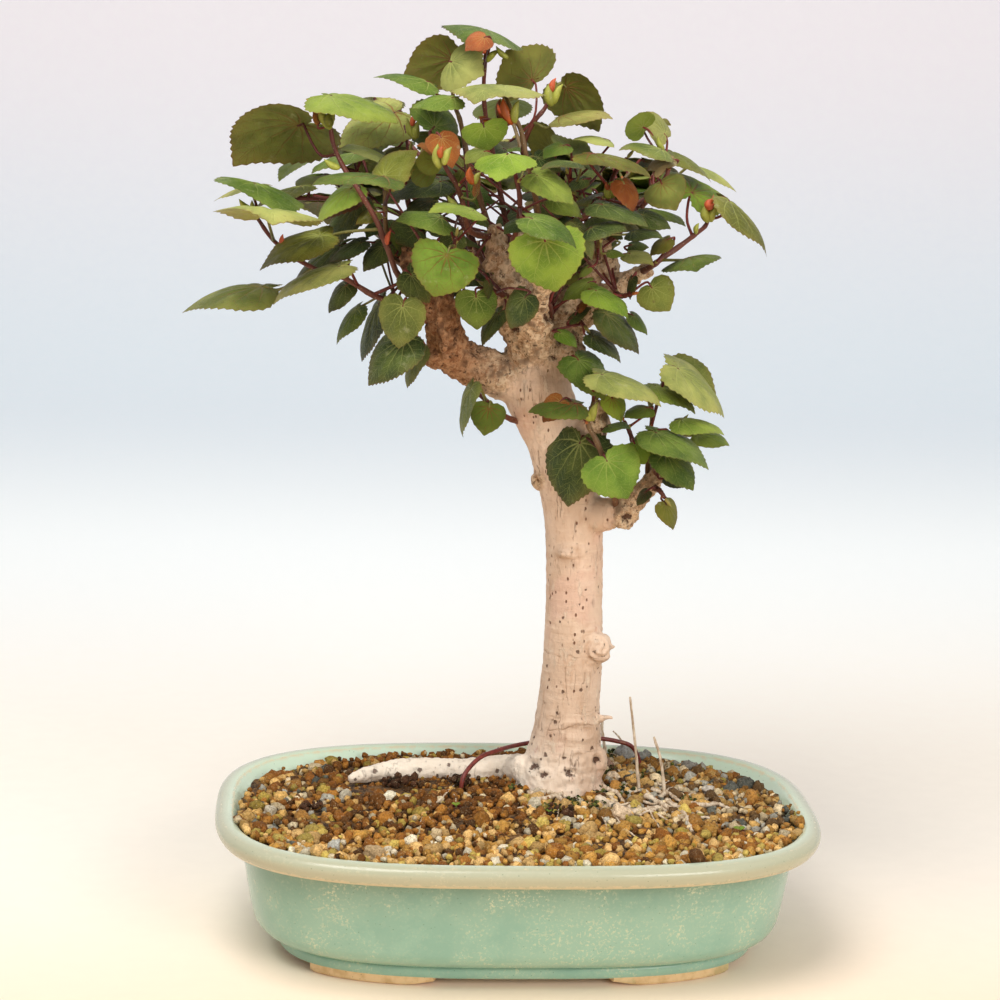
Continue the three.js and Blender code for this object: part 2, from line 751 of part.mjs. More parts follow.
const SHOOTS = {
  shoot_left_low: {
    foot: [440, 308, 8],
    stem: [
      [405, 303, 0.1],
      [377, 297, 0.15],
      [344, 278, 0.15],
      [313, 268, 0.15],
      [275, 242, 0.1],
      [256, 216, 0.1],
    ],
    leaves: [
      leaf([255, 184], [287, 217], 0.1, -22, 62, { side: [34, 9], via: [[257, 208, 0.1]] }),
      leaf([268, 212], [273, 221], 0.2, -34, 100, { side: [51, 5] }),
      leaf([339, 267], [272, 303], 0.35, -4, 18),
      leaf([262, 287], [181, 310], 0.15, 0, 19, { via: [[281, 289, 0.15]] }),
      leaf([340, 246], [292, 281], 0, 5, 14),
      leaf([346, 286], [328, 313], 0.1, 0, 18),
      leaf([357, 309], [335, 344], 0.1, 0, 14),
      leaf([379, 304], [361, 362], -0.1, 3, 18),
    ],
  },
  shoot_left_high: {
    foot: [427, 285, 5],
    stem: [
      [402, 280, 0.25],
      [387, 247, 0.3],
      [377, 222, 0.3],
      [361, 194, 0.3],
      [344, 168, 0.25],
      [333, 143, 0.2],
      [330, 122, 0.2],
    ],
    leaves: [
      leaf([299, 125], [233, 166], 0.1, 20, 68, { side: [-32, -22], via: [[320, 155, 0.15]] }),
      leaf([331, 96], [398, 125], 0.2, -10, 26, { via: [[334, 118, 0.2]] }),
      leaf([351, 189], [316, 224], 0.35, -4, 22),
      leaf([357, 199], [320, 221], 0.1, 6, 10),
      leaf([320, 236], [259, 270], 0.25, -3, 26, { via: [[345, 232, 0.3]] }),
    ],
  },
  shoot_left_inner: {
    foot: [417, 272, 4],
    stem: [[392, 256, -0.05], [386, 230, 0.05], [385, 200, 0.1], [385, 176, 0.1]],
    leaves: [
      leaf([384, 157], [340, 148], 0.1, -8, 12),
      leaf([384, 176], [418, 150], 0.1, 4, 30),
      leaf([383, 177], [312, 184], 0.2, -10, 10),
      leaf([358, 202], [326, 247], 0, 3, 26),
      leaf([375, 213], [356, 225], 0.3, -3, 14),
      leaf([361, 243], [330, 263], 0.05, 0, 14),
      leaf([383, 247], [362, 271], 0.15, 0, 22),
    ],
  },
  shoot_left_mid: {
    foot: [408, 255, 3],
    stem: [[412, 225, -0.1], [405, 180, -0.1], [410, 150, 0]],
    leaves: [
      leaf([394, 113], [338, 147], 0.1, -3, 46, { via: [[405, 130, 0.05]] }),
      leaf([405, 158], [387, 149], 0, -8, 24),
      leaf([440, 182], [389, 200], 0.15, 0, 20),
      leaf([432, 168], [410, 171], 0.25, -12, 14),
    ],
  },
  shoot_left_under: {
    foot: [440, 326, 9],
    stem: [[420, 318, 0.2], [404, 303, 0.3]],
    leaves: [
      leaf([403, 306], [398, 349], 0.5, 2, 44),
      leaf([405, 340], [367, 385], 0.35, 2, 38),
      leaf([419, 350], [406, 388], 0.35, 2, 14, { via: [[412, 330, 0.35]] }),
      leaf([411, 275], [431, 303], 0.4, 4, 32),
    ],
  },
  shoot_front_left: {
    foot: [444, 300, 8],
    stem: [[449, 280, 0.35], [452, 255, 0.45], [456, 236, 0.5]],
    leaves: [
      leaf([447, 255], [433, 298], 0.62, 4, 64),
      leaf([457, 236], [440, 253], 0.5, 0, 26),
      leaf([473, 211], [428, 212], 0.55, -8, 14),
      leaf([440, 218], [396, 220], 0.5, -6, 22),
    ],
  },
  shoot_centre: {
    foot: [494, 238, 9],
    stem: [[469, 230, 0.3], [463, 204, 0.4], [456, 184, 0.45], [446, 168, 0.45], [440, 150, 0.45]],
    leaves: [
      leaf([441, 138], [453, 168], 0.52, -3, 30),
      leaf([484, 152], [465, 163], 0.5, -6, 18),
      leaf([437, 160], [415, 160], 0.35, -8, 10),
      leaf([434, 127], [447, 108], 0.3, 20, 38),
    ],
  },
  shoot_top_left: {
    foot: [500, 258, 10],
    stem: [[482, 205, 0], [468, 160, 0.05], [460, 120, 0.05], [454, 103, 0.05], [452, 76, 0.05]],
    leaves: [
      leaf([455, 60], [404, 74], 0, 5, 56, { under: true }),
      leaf([427, 82], [373, 76], 0.15, -3, 10, { via: [[436, 94, 0.1]] }),
      leaf([452, 98], [412, 109], 0.2, -4, 16),
      leaf([452, 62], [484, 75], 0.2, -15, 24),
    ],
  },
  shoot_top: {
    foot: [515, 296, 13],
    stem: [[507, 230, -0.2], [494, 160, -0.15], [484, 100, -0.1], [486, 46, 0]],
    leaves: [
      leaf([486, 36], [470, 46], 0.1, -28, 74, { side: [38, 10] }),
      leaf([488, 40], [464, 54], 0.2, -4, 20),
    ],
  },
  shoot_top_right: {
    foot: [521, 240, 4],
    stem: [
      [537, 218, 0.15],
      [535, 195, 0.25],
      [525, 150, 0.35],
      [520, 128, 0.35],
      [513, 115, 0.35],
      [506, 97, 0.35],
    ],
    leaves: [
      leaf([503, 86], [474, 100], 0.35, -28, 88),
      leaf([532, 80], [506, 50], 0.1, 6, 64, { via: [[535, 115, 0.2]], under: true }),
      leaf([484, 127], [489, 151], 0.5, 3, 44, { via: [[502, 122, 0.45]] }),
    ],
  },
  shoot_top_far: {
    foot: [568, 308, 22],
    stem: [
      [562, 240, -0.05],
      [542, 180, 0],
      [523, 150, 0.05],
      [534, 122, 0.1],
      [545, 108, 0.1],
      [552, 92, 0.1],
    ],
    leaves: [
      leaf([566, 87], [599, 132], 0.1, 3, 46, { under: true }),
      leaf([562, 117], [613, 117], 0.15, -6, 12, { via: [[548, 128, 0.15]] }),
      leaf([553, 150], [523, 124], 0.2, 5, 32, { under: true }),
    ],
  },
  shoot_front: {
    foot: [542, 274, -24],
    stem: [[547, 258, 0.5], [545, 240, 0.55]],
    leaves: [
      leaf([545, 241], [556, 292], 0.72, 2, 72),
      leaf([524, 222], [504, 234], 0.45, -6, 18),
      leaf([576, 226], [593, 260], 0.45, 0, 18),
    ],
  },
  shoot_front_low: {
    foot: [514, 296, 12],
    stem: [[500, 294, 0.25], [486, 286, 0.3]],
    leaves: [
      leaf([476, 297], [477, 330], 0.42, 3, 40),
      leaf([499, 314], [481, 346], 0.2, 0, 16),
      leaf([525, 298], [509, 329], 0.35, 3, 30, { via: [[512, 288, 0.4]] }),
    ],
  },
  shoot_front_low_right: {
    foot: [548, 326, 21],
    stem: [[550, 306, 0.25], [540, 294, 0.35]],
    leaves: [
      leaf([588, 283], [562, 300], 0.3, 0, 18),
    ],
  },
  shoot_mid_right: {
    foot: [508, 262, 9],
    stem: [[517, 226, 0.35], [520, 200, 0.5], [515, 172, 0.55]],
    leaves: [
      leaf([507, 155], [497, 180], 0.66, -18, 58),
      leaf([537, 176], [573, 205], 0.62, -4, 28),
      leaf([532, 219], [578, 246], 0.55, -3, 22),
      leaf([555, 200], [583, 218], 0.5, 0, 20),
      leaf([538, 158], [562, 172], 0.35, 0, 20),
    ],
  },
  shoot_right_a: {
    foot: [578, 286, 22],
    stem: [
      [566, 252, 0.2],
      [573, 224, 0.35],
      [590, 212, 0.35],
      [606, 194, 0.35],
      [616, 171, 0.3],
      [627, 158, 0.3],
    ],
    leaves: [
      leaf([624, 184], [634, 212], 0.5, -2, 22),
      leaf([602, 205], [648, 227], 0.5, -6, 20),
      leaf([593, 154], [652, 176], 0.35, -8, 12),
    ],
  },
  shoot_right_b: {
    foot: [606, 244, 23],
    stem: [[637, 214, 0.1], [644, 204, 0.15], [662, 183, 0.15], [668, 170, 0.15], [663, 152, 0.15]],
    leaves: [
      leaf([664, 134], [639, 112], 0.1, 0, 20),
      leaf([643, 127], [627, 121], 0.2, -10, 18),
      leaf([649, 124], [671, 124], 0.1, -5, 10),
      leaf([661, 150], [619, 148], 0.3, -6, 14),
      leaf([671, 152], [712, 182], 0.15, -5, 10),
      leaf([662, 184], [676, 210], 0.4, -6, 42),
      leaf([643, 215], [671, 229], 0.3, 0, 18),
    ],
  },
  shoot_right_low: {
    foot: [640, 273, 16],
    stem: [
      [652, 266, 0.15],
      [660, 260, 0.15],
      [684, 243, 0.1],
      [697, 233, 0.1],
      [706, 225, 0.1],
      [711, 206, 0.1],
    ],
    leaves: [
      leaf([692, 193], [701, 181], 0, 26, 62, { side: [30, 14], via: [[687, 220, 0.05]] }),
      leaf([729, 201], [770, 255], 0.1, -2, 12, { via: [[722, 215, 0.1]] }),
      leaf([689, 258], [697, 273], 0.3, -22, 54),
      leaf([667, 240], [649, 256], 0.35, 0, 14),
      leaf([630, 254], [654, 265], 0.35, -5, 16),
    ],
  },
  shoot_right_inner: {
    foot: [598, 260, 23],
    stem: [[600, 240, 0.3], [606, 232, 0.4]],
    leaves: [
      leaf([592, 228], [627, 230], 0.42, -8, 20),
      leaf([634, 232], [664, 238], 0.35, -5, 14),
    ],
  },
  shoot_right_under: {
    foot: [614, 291, 19],
    stem: [[622, 296, 0.25], [632, 294, 0.35]],
    leaves: [
      leaf([652, 288], [670, 311], 0.4, 0, 38),
      leaf([596, 291], [629, 316], 0.55, -5, 22),
      leaf([606, 314], [638, 355], 0.3, 2, 26),
      leaf([633, 316], [648, 335], 0.2, 0, 12),
    ],
  },
  shoot_right_under_in: {
    foot: [570, 322, 22],
    stem: [[580, 322, 0.25], [584, 326, 0.3]],
    leaves: [
      leaf([593, 337], [622, 362], 0.35, 0, 16),
      leaf([560, 333], [578, 347], 0.4, 0, 14),
    ],
  },
  shoot_upper_right: {
    foot: [573, 297, 22],
    stem: [[579, 245, -0.1], [574, 200, 0.05], [568, 174, 0.2]],
    leaves: [
      leaf([572, 158], [585, 141], 0.2, 20, 44, { under: true }),
      leaf([604, 139], [572, 140], 0.25, -5, 9),
      leaf([603, 158], [577, 166], 0.4, -6, 16),
      leaf([563, 146], [543, 158], 0.35, -5, 16),
      leaf([573, 163], [540, 170], 0.35, -6, 10),
    ],
  },
  shoot_tier_left: {
    zone: "tier",
    foot: [618, 514, 10],
    stem: [[607, 468, 0.35], [596, 440, 0.4], [588, 424, 0.4], [592, 407, 0.35], [598, 384, 0.3]],
    leaves: [
      leaf([575, 504], [583, 440], 0.45, 2, 52, { via: [[590, 480, 0.5]] }),
      leaf([607, 461], [628, 499], 0.7, -2, 58),
      leaf([578, 360], [605, 400], 0.3, -5, 36),
      leaf([602, 375], [662, 406], 0.5, -6, 24),
      leaf([562, 402], [542, 421], 0.5, 0, 20),
      leaf([580, 405], [529, 415], 0.55, -3, 22),
      leaf([612, 398], [622, 422], 0.35, 0, 22),
    ],
  },
  shoot_tier_mid: {
    zone: "tier",
    foot: [631, 507, 9],
    stem: [[634, 470, 0], [633, 444, 0.1], [630, 433, 0.1], [624, 421, 0.1]],
    leaves: [
      leaf([635, 444], [645, 464], 0.4, -5, 40),
      leaf([646, 408], [624, 418], 0.3, -4, 16),
      leaf([608, 427], [631, 428], 0.25, -4, 10),
    ],
  },
  shoot_tier_right: {
    zone: "tier",
    foot: [648, 489, 6],
    stem: [[648, 462, -0.15], [645, 442, -0.05], [651, 427, 0], [652, 406, 0]],
    leaves: [
      leaf([655, 386], [696, 413], 0.2, -8, 16),
      leaf([675, 373], [717, 394], 0, 0, 44),
      leaf([678, 369], [727, 417], -0.2, 4, 26),
    ],
  },
  shoot_tier_low: {
    zone: "tier",
    foot: [656, 479, 4],
    stem: [[657, 463, 0.15], [661, 448, 0.25], [681, 423, 0.2]],
    leaves: [
      leaf([656, 433], [710, 468], 0.6, -6, 26, { via: [[668, 430, 0.4]] }),
      leaf([682, 420], [725, 433], 0.15, -5, 16),
      leaf([698, 435], [730, 445], 0.1, 0, 18),
      leaf([666, 454], [693, 491], 0.4, -3, 32),
    ],
  },
  shoot_tier_under: {
    zone: "tier",
    foot: [652, 487, 5],
    stem: [[660, 491, 0.3], [665, 498, 0.35]],
    leaves: [leaf([666, 505], [674, 530], 0.35, 0, 20)],
  },
  shoot_trunk: {
    zone: "trunk",
    foot: [524, 424, 20],
    stem: [[503, 415, 0.2], [490, 404, 0.2], [475, 391, 0.1]],
    leaves: [leaf([489, 408], [484, 436], 0.4, -2, 34), leaf([471, 389], [462, 438], 0, 0, 13)],
  },
};

// Shoots of the far side, set out evenly by a rule
const BACK_SHOOTS = 8;
const BACK_LEAVES = 3;
const BACK_FEET = [
  [476, 250, 76],
  [484, 272, 68],
  [497, 288, 58],
  [474, 262, 74],
  [555, 312, 46],
  [590, 250, 78],
  [580, 268, 70],
  [567, 288, 60],
];
const BACK_LEAF_LENGTH = 25;
const BACK_STALK_REACH = 11;
const BACK_STALK_RISE = 5;

function stalk(points, fromRadius, toRadius, sides, steps) {
  const stations = points.map((point, i) => {
    const share = i / (points.length - 1);
    return { point, radius: THREE.MathUtils.lerp(fromRadius, toRadius, share) };
  });
  return limb(stations, { sides, steps });
}

// The place on a stem from which a leaf stalk to a point starts: a little below the nearest place
function stalkStart(path, point) {
  let best = 0.3;
  let nearest = Infinity;
  for (let t = 0.3; t <= 1; t += 0.02) {
    const distance = path.getPoint(t).distanceTo(point);
    if (distance < nearest) {
      nearest = distance;
      best = t;
    }
  }
  const length = path.getLength();
  return path.getPoint(Math.max(0.22, best - (nearest * 0.45) / length));
}

const boxOf = (solid) => {
  const { min, max } = solid.boundingBox();
  return new THREE.Box3(new THREE.Vector3(...min), new THREE.Vector3(...max));
};

// Everything that foliage has to stay clear of. A shoot's own pieces are fused, so its stalks may meet
// its stem, but a blade stays clear of all but its own stalk.
const placed = [];
function isClear(solid, isRival) {
  const box = boxOf(solid).expandByScalar(LEAF_CLEARANCE);
  return !placed.some((other) => {
    if (!isRival(other) || !box.intersectsBox(other.box)) return false;
    return solid.minGap(other.solid, LEAF_CLEARANCE) < LEAF_CLEARANCE;
  });
}

function hasRoom(unit, name) {
  const isOwn = (other) => other.owner === name;
  return isClear(unit.whole, (other) => !isOwn(other)) && isClear(unit.blade, isOwn);
}

function place(solid, owner) {
  placed.push({ solid, owner, box: boxOf(solid) });
}

// Depths tried in turn, in millimetres, for a stem or a leaf that meets another
const DEPTH_TRIES = [0, 3, -3, 6, -6, 9, -9, 12, -12, 16, -16, 20, -20, 25, -25, 31, -31, 38];

function placeStem(name, shoot, wood) {
  const zone = ZONES[shoot.zone ?? "crown"];
  for (const shift of DEPTH_TRIES) {
    const points = [at(...shoot.foot)];
    shoot.stem.forEach(([u, v, forward], i) => {
      const ease = Math.min(1, (i + 1) / 2);
      points.push(at(u, v, depthIn(zone, u, v, forward) + shift * ease));
    });
    const solid = stalk(points, STEM_BASE_RADIUS, STEM_TIP_RADIUS, 4, Math.max(3, points.length - 1));
    const trimmed = largestBody(solid.subtract(wood));
    if (isClear(trimmed, () => true)) {
      place(trimmed, name);
      return { solid: trimmed, path: new THREE.CatmullRomCurve3(points, false, "centripetal"), shift };
    }
  }
  throw new Error(`no room for the stem of ${name}`);
}

// A blade that shows its side edge at a step on the sheet from its midrib. Its half width is the line
// over that step which stands square to the midrib.
function facingFromSide(base, tip, [du, dv]) {
  const c = Math.cos(POT_TURN);
  const s = Math.sin(POT_TURN);
  const along = tip.clone().sub(base);
  const ahead = new THREE.Vector3(along.x * c - along.y * s, along.x * s + along.y * c, along.z);
  const scale = sheetScale(ahead.y);
  const half = new THREE.Vector3(du * scale, 0, -dv * scale);
  half.y = -(half.x * ahead.x + half.z * ahead.z) / ahead.y;
  const across = toPotFrame(half.x, half.y, half.z);
  const facing = new THREE.Vector3().crossVectors(across, along).normalize();
  if (facing.z < 0) facing.negate();
  return { facing, fullWidth: 2 * half.length() };
}

// The way a blade faces: across its midrib towards the eye, turned about the midrib until it shows the
// width it should, with the upper face turned up
function facingOf(base, tip, shownWidth, { under: isUnder, side }) {
  const along = tip.clone().sub(base);
  const length = along.length();
  along.normalize();
  if (side) return facingFromSide(base, tip, side);
  const fullWidth = Math.max(length * 1.05, shownWidth);
  const look = towardsEye(base);
  if (Math.abs(look.dot(along)) > POINTS_AT_EYE) look.set(0, 0, 1);
  const front = look.addScaledVector(along, -look.dot(along)).normalize();
  if (isUnder) front.negate();
  const turn = Math.acos(Math.min(1, shownWidth / fullWidth));
  const options = [turn, -turn].map((angle) => front.clone().applyAxisAngle(along, angle));
  options.sort((a, b) => b.z - a.z);
  return { facing: options[0], fullWidth };
}

// A leaf with its stalk from the stem, and the blade alone to test against the stem. The stalk first
// runs a little back and down from the notch.
const STALK_BACK = 3;
const STALK_DROP = 1.6;
function leafUnit(path, base, tip, facing, fullWidth, via) {
  const inward = tip.clone().sub(base).normalize();
  const below = base.clone().addScaledVector(inward, -STALK_BACK).addScaledVector(facing, -STALK_DROP);
  const start = stalkStart(path, via.length ? via[0] : base);
  const stalkPoints = [below, ...via.slice().reverse(), start];
  const whole = makeLeaf(base, tip, facing, fullWidth, stalkPoints);
  return { whole, blade: makeLeaf(base, tip, facing, fullWidth) };
}

function growLeaf(name, stem, zone, row, parts) {
  const [u, v] = row.base;
  const depth = depthIn(zone, u, v, row.forward);
  const room = sheetScale(depth) * row.width;
  for (const shift of DEPTH_TRIES) {
    const here = depth + stem.shift + shift;
    const aside = stem.shift + shift / 2;
    const via = (row.via ?? []).map(([a, b, f]) => at(a, b, depthIn(zone, a, b, f) + aside));
    const base = at(u, v, here);
    const tip = at(...row.tip, here + row.lean);
    const { facing, fullWidth } = facingOf(base, tip, room, row);
    const unit = leafUnit(stem.path, base, tip, facing, fullWidth, via);
    if (hasRoom(unit, name)) {
      place(unit.whole, name);
      parts.push(unit.whole);
      return;
    }
  }
  throw new Error(`no room for the leaf of ${name} at ${row.base}`);
}

function backShoots() {
  const random = randomSource(404);
  const centre = at(ZONES.crown.u, 215, ZONES.crown.depth);
  const shoots = [];
  for (let i = 0; i < BACK_SHOOTS; i += 1) {
    const heading = THREE.MathUtils.degToRad(170 - (160 * (i + 0.5)) / BACK_SHOOTS);
    const lift = 0.25 + 0.75 * ((i * 2) % 5) / 4;
    const height = lift * (8 + 42 * Math.sin(heading) ** 2);
    const out = new THREE.Vector3(Math.cos(heading) * 88, Math.sin(heading) * 80, height);
    const tip = centre.clone().add(out);
    const root = at(...BACK_FEET[i]);
    const middle = root.clone().lerp(tip, 0.55);
    middle.z += 8;
    const leaves = [];
    for (let k = 0; k < BACK_LEAVES; k += 1) {
      const along = 0.5 + (0.5 * k) / (BACK_LEAVES - 1);
      const angle = heading + (k % 2 ? 0.9 : -0.9) * (k === BACK_LEAVES - 1 ? 0.1 : 1) + random() - 0.5;
      const slope = -0.25 - random() * 0.5;
      leaves.push({ along, angle, slope, length: BACK_LEAF_LENGTH * (0.75 + random() * 0.4) });
    }
    shoots.push({ name: `shoot_back_${i + 1}`, points: [root, middle, tip], leaves });
  }
  return shoots;
}

function placeBackStem(shoot, wood) {
  for (const shift of DEPTH_TRIES) {
    const [root, middle, tip] = shoot.points;
    const aside = new THREE.Vector3(shift, 0, 0);
    const points = [root, middle.clone().add(aside), tip.clone().add(aside)];
    const solid = largestBody(stalk(points, STEM_BASE_RADIUS, STEM_TIP_RADIUS, 4, 4).subtract(wood));
    if (isClear(solid, () => true)) {
      place(solid, shoot.name);
      return { solid, path: new THREE.CatmullRomCurve3(points, false, "centripetal") };
    }
  }
  throw new Error(`no room for the stem of ${shoot.name}`);
}

function growBackShoot(shoot, { solid, path }) {
  const parts = [solid];
  for (const row of shoot.leaves) {
    const from = path.getPoint(row.along);
    const flat = new THREE.Vector3(Math.cos(row.angle), Math.sin(row.angle), 0);
    for (const lift of DEPTH_TRIES) {
      const base = from.clone().addScaledVector(flat, BACK_STALK_REACH);
      base.z += BACK_STALK_RISE + lift;
      const direction = flat.clone().setZ(row.slope).normalize();
      const tip = base.clone().addScaledVector(direction, row.length);
      const facing = new THREE.Vector3(flat.x * 0.45, flat.y * 0.45, 1).normalize();
      const unit = leafUnit(path, base, tip, facing, row.length, []);
      if (hasRoom(unit, shoot.name)) {
        place(unit.whole, shoot.name);
        parts.push(unit.whole);
        break;
      }
    }
  }
  return largestBody(join(parts));
}

// Assembly
const wood = makeWood();
const woodRoom = makeWood(GAP);
const rightRoot = largestBody(makeRightRoot().subtract(woodRoom));
const twigs = Object.entries(DEAD_TWIGS).map(([name, rows]) => [name, makeTwig(rows)]);
const wire = makeWire().subtract(woodRoom);

let soil = granularBlock().intersect(soilCup());
soil = soil.subtract(woodRoom).subtract(makeRightRoot(GAP)).subtract(makeWire(GAP));
for (const rows of Object.values(DEAD_TWIGS)) soil = soil.subtract(makeTwig(rows, GAP));
for (const side of [-1, 1]) soil = soil.subtract(screenRoom(side));

addNode("pot", makePot(), materials.glaze);
addNode("drain_screen_left", makeScreen(-1), materials.screen);
addNode("drain_screen_right", makeScreen(1), materials.screen);
addNode("soil", largestBody(soil), materials.soil);
addNode("tree_wood", largestBody(wood), materials.bark);
addNode("surface_root_right", rightRoot, materials.deadwood);
addNode("anchor_wire", largestBody(wire), materials.wire);
for (const [name, solid] of twigs) addNode(name, solid, materials.deadwood);

const stems = new Map();
for (const [name, shoot] of Object.entries(SHOOTS)) stems.set(name, placeStem(name, shoot, woodRoom));
const rearShoots = backShoots();
for (const shoot of rearShoots) stems.set(shoot.name, placeBackStem(shoot, woodRoom));
place(woodRoom, "tree_wood");
for (const [name, shoot] of Object.entries(SHOOTS)) {
  const stem = stems.get(name);
  const parts = [stem.solid];
  for (const row of shoot.leaves) growLeaf(name, stem, ZONES[shoot.zone ?? "crown"], row, parts);
  addNode(name, largestBody(join(parts)), materials.leaf);
}
for (const shoot of rearShoots) {
  addNode(shoot.name, growBackShoot(shoot, stems.get(shoot.name)), materials.leaf);
}

// The part stands with the middle of its box over the origin
const bounds = new THREE.Box3().setFromObject(tree);
const middle = bounds.getCenter(new THREE.Vector3());
tree.position.set(-middle.x, -middle.y, -bounds.min.z);
const bonsai = new THREE.Group();
bonsai.add(tree);

export default bonsai;
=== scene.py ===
import math

import bmesh
import bpy
import numpy as np
from mathutils import Matrix, Vector, noise
from mathutils.bvhtree import BVHTree


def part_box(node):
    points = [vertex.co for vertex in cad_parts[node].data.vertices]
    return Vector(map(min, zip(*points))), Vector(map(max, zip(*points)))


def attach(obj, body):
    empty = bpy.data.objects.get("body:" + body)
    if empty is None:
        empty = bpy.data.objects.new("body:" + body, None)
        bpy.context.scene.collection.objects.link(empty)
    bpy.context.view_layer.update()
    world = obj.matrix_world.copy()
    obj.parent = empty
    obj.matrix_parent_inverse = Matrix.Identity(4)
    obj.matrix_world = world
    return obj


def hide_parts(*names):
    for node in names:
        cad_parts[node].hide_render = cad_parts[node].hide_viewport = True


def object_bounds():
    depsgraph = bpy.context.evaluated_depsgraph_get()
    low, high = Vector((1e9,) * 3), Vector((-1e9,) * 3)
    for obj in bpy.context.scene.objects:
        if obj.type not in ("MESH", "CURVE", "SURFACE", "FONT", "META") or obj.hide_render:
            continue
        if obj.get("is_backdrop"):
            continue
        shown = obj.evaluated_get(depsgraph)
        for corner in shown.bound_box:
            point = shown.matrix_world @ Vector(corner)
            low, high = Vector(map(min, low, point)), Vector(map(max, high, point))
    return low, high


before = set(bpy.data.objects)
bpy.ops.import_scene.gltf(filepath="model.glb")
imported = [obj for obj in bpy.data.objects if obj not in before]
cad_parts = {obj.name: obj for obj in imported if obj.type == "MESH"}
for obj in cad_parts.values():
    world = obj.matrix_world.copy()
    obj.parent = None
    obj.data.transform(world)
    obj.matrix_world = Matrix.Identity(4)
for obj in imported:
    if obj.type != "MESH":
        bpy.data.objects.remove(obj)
CAD_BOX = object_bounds()
MM = 0.001
FULL_TURN = 2 * math.pi

# Pot
POT_LENGTH = 260.0
POT_DEPTH = 184.6
PLAN_EXPONENT = 3.07
FOOT_HEIGHT = 4.0
FLOOR_TOP = 11.5
FOOT_THICKNESS = 9.0
FOOT_RING_LENGTH = 206.0
FOOT_INNER_X = 37.6
FOOT_OUTER_X = 88.5
DRAIN_RADIUS = 11.0
DRAIN_SPREAD = 46.0
SHORTER_BY = (POT_LENGTH - POT_DEPTH) / 2

# Soil
SOIL_EDGE = 54.0
SOIL_MOUND = 7.5

# The plan of the tree is drawn on a sheet of 1000 by 1000 squares, seen from one standpoint in front
# of the pot. A place on the sheet and a depth behind the pot's middle give a point in space.
SHEET = 1000.0
EYE_X = -10.7
EYE_DISTANCE = 1080.4
EYE_HEIGHT = 402.1
EYE_PITCH = 0.191
EYE_ROLL = 0.028
EYE_FOCAL = 2586.0
POT_TURN = 0.073
SENSOR = 36.0

pot_low, pot_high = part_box("pot")
POT_MIDDLE = np.array([(pot_low[0] + pot_high[0]) / 2, (pot_low[1] + pot_high[1]) / 2, 0.0]) / MM


# Places
def rotated(x, y, angle):
    c, s = math.cos(angle), math.sin(angle)
    return x * c + y * s, -x * s + y * c


def to_pot_frame(x, y, z):
    return POT_MIDDLE + np.array([*rotated(x, y, POT_TURN), z])


def sight_line(u, v):
    right, down = rotated(u - SHEET / 2, v - SHEET / 2, EYE_ROLL)
    return right / EYE_FOCAL, -down / EYE_FOCAL


def at(u, v, depth):
    """The point on the sight line through (u, v) that is depth behind the pot's middle."""
    right, up = sight_line(u, v)
    c, s = math.cos(EYE_PITCH), math.sin(EYE_PITCH)
    away = depth + EYE_DISTANCE
    rise = away * (up * c - s) / (c + up * s)
    reach = away * c - rise * s
    return to_pot_frame(EYE_X + reach * right, depth, EYE_HEIGHT + rise)


def at_height(u, v, height):
    """The point on the sight line through (u, v) at a height."""
    up = sight_line(u, v)[1]
    c, s = math.cos(EYE_PITCH), math.sin(EYE_PITCH)
    away = (height - EYE_HEIGHT) * (c + up * s) / (up * c - s)
    return at(u, v, away - EYE_DISTANCE)


def to_sheet(points):
    """Sheet places and depths of points, as three arrays."""
    p = np.atleast_2d(points) - POT_MIDDLE
    x, y = rotated(p[:, 0], p[:, 1], -POT_TURN)
    c, s = math.cos(EYE_PITCH), math.sin(EYE_PITCH)
    away, rise = y + EYE_DISTANCE, p[:, 2] - EYE_HEIGHT
    reach = away * c - rise * s
    right, up = (x - EYE_X) / reach, (away * s + rise * c) / reach
    c, s = math.cos(EYE_ROLL), math.sin(EYE_ROLL)
    return SHEET / 2 + EYE_FOCAL * (right * c + up * s), SHEET / 2 + EYE_FOCAL * (right * s - up * c), y


def sheet_place(x, y, z):
    """The sheet place and depth of one point."""
    return [float(part[0]) for part in to_sheet(np.array([x, y, z]))]


def depth_of(point):
    return sheet_place(*point)[2]


def sheet_scale(depth):
    return (depth + EYE_DISTANCE) / EYE_FOCAL


EYE = to_pot_frame(EYE_X, -EYE_DISTANCE, EYE_HEIGHT)


def above(height):
    return np.array([0, 0, height])


def unit(vector):
    return vector / max(np.linalg.norm(vector), 1e-9)


def random_source(seed):
    """Seeded random numbers from 0 to 1, by the rule that the source of the part uses."""
    state = [seed]

    def draw():
        state[0] = (state[0] + 0x6D2B79F5) & 0xFFFFFFFF
        t = state[0]
        t = ((t ^ (t >> 15)) * (1 | t)) & 0xFFFFFFFF
        t = (((t + (((t ^ (t >> 7)) * (61 | t)) & 0xFFFFFFFF)) & 0xFFFFFFFF) ^ t) & 0xFFFFFFFF
        return (t ^ (t >> 14)) / 4294967296

    return draw


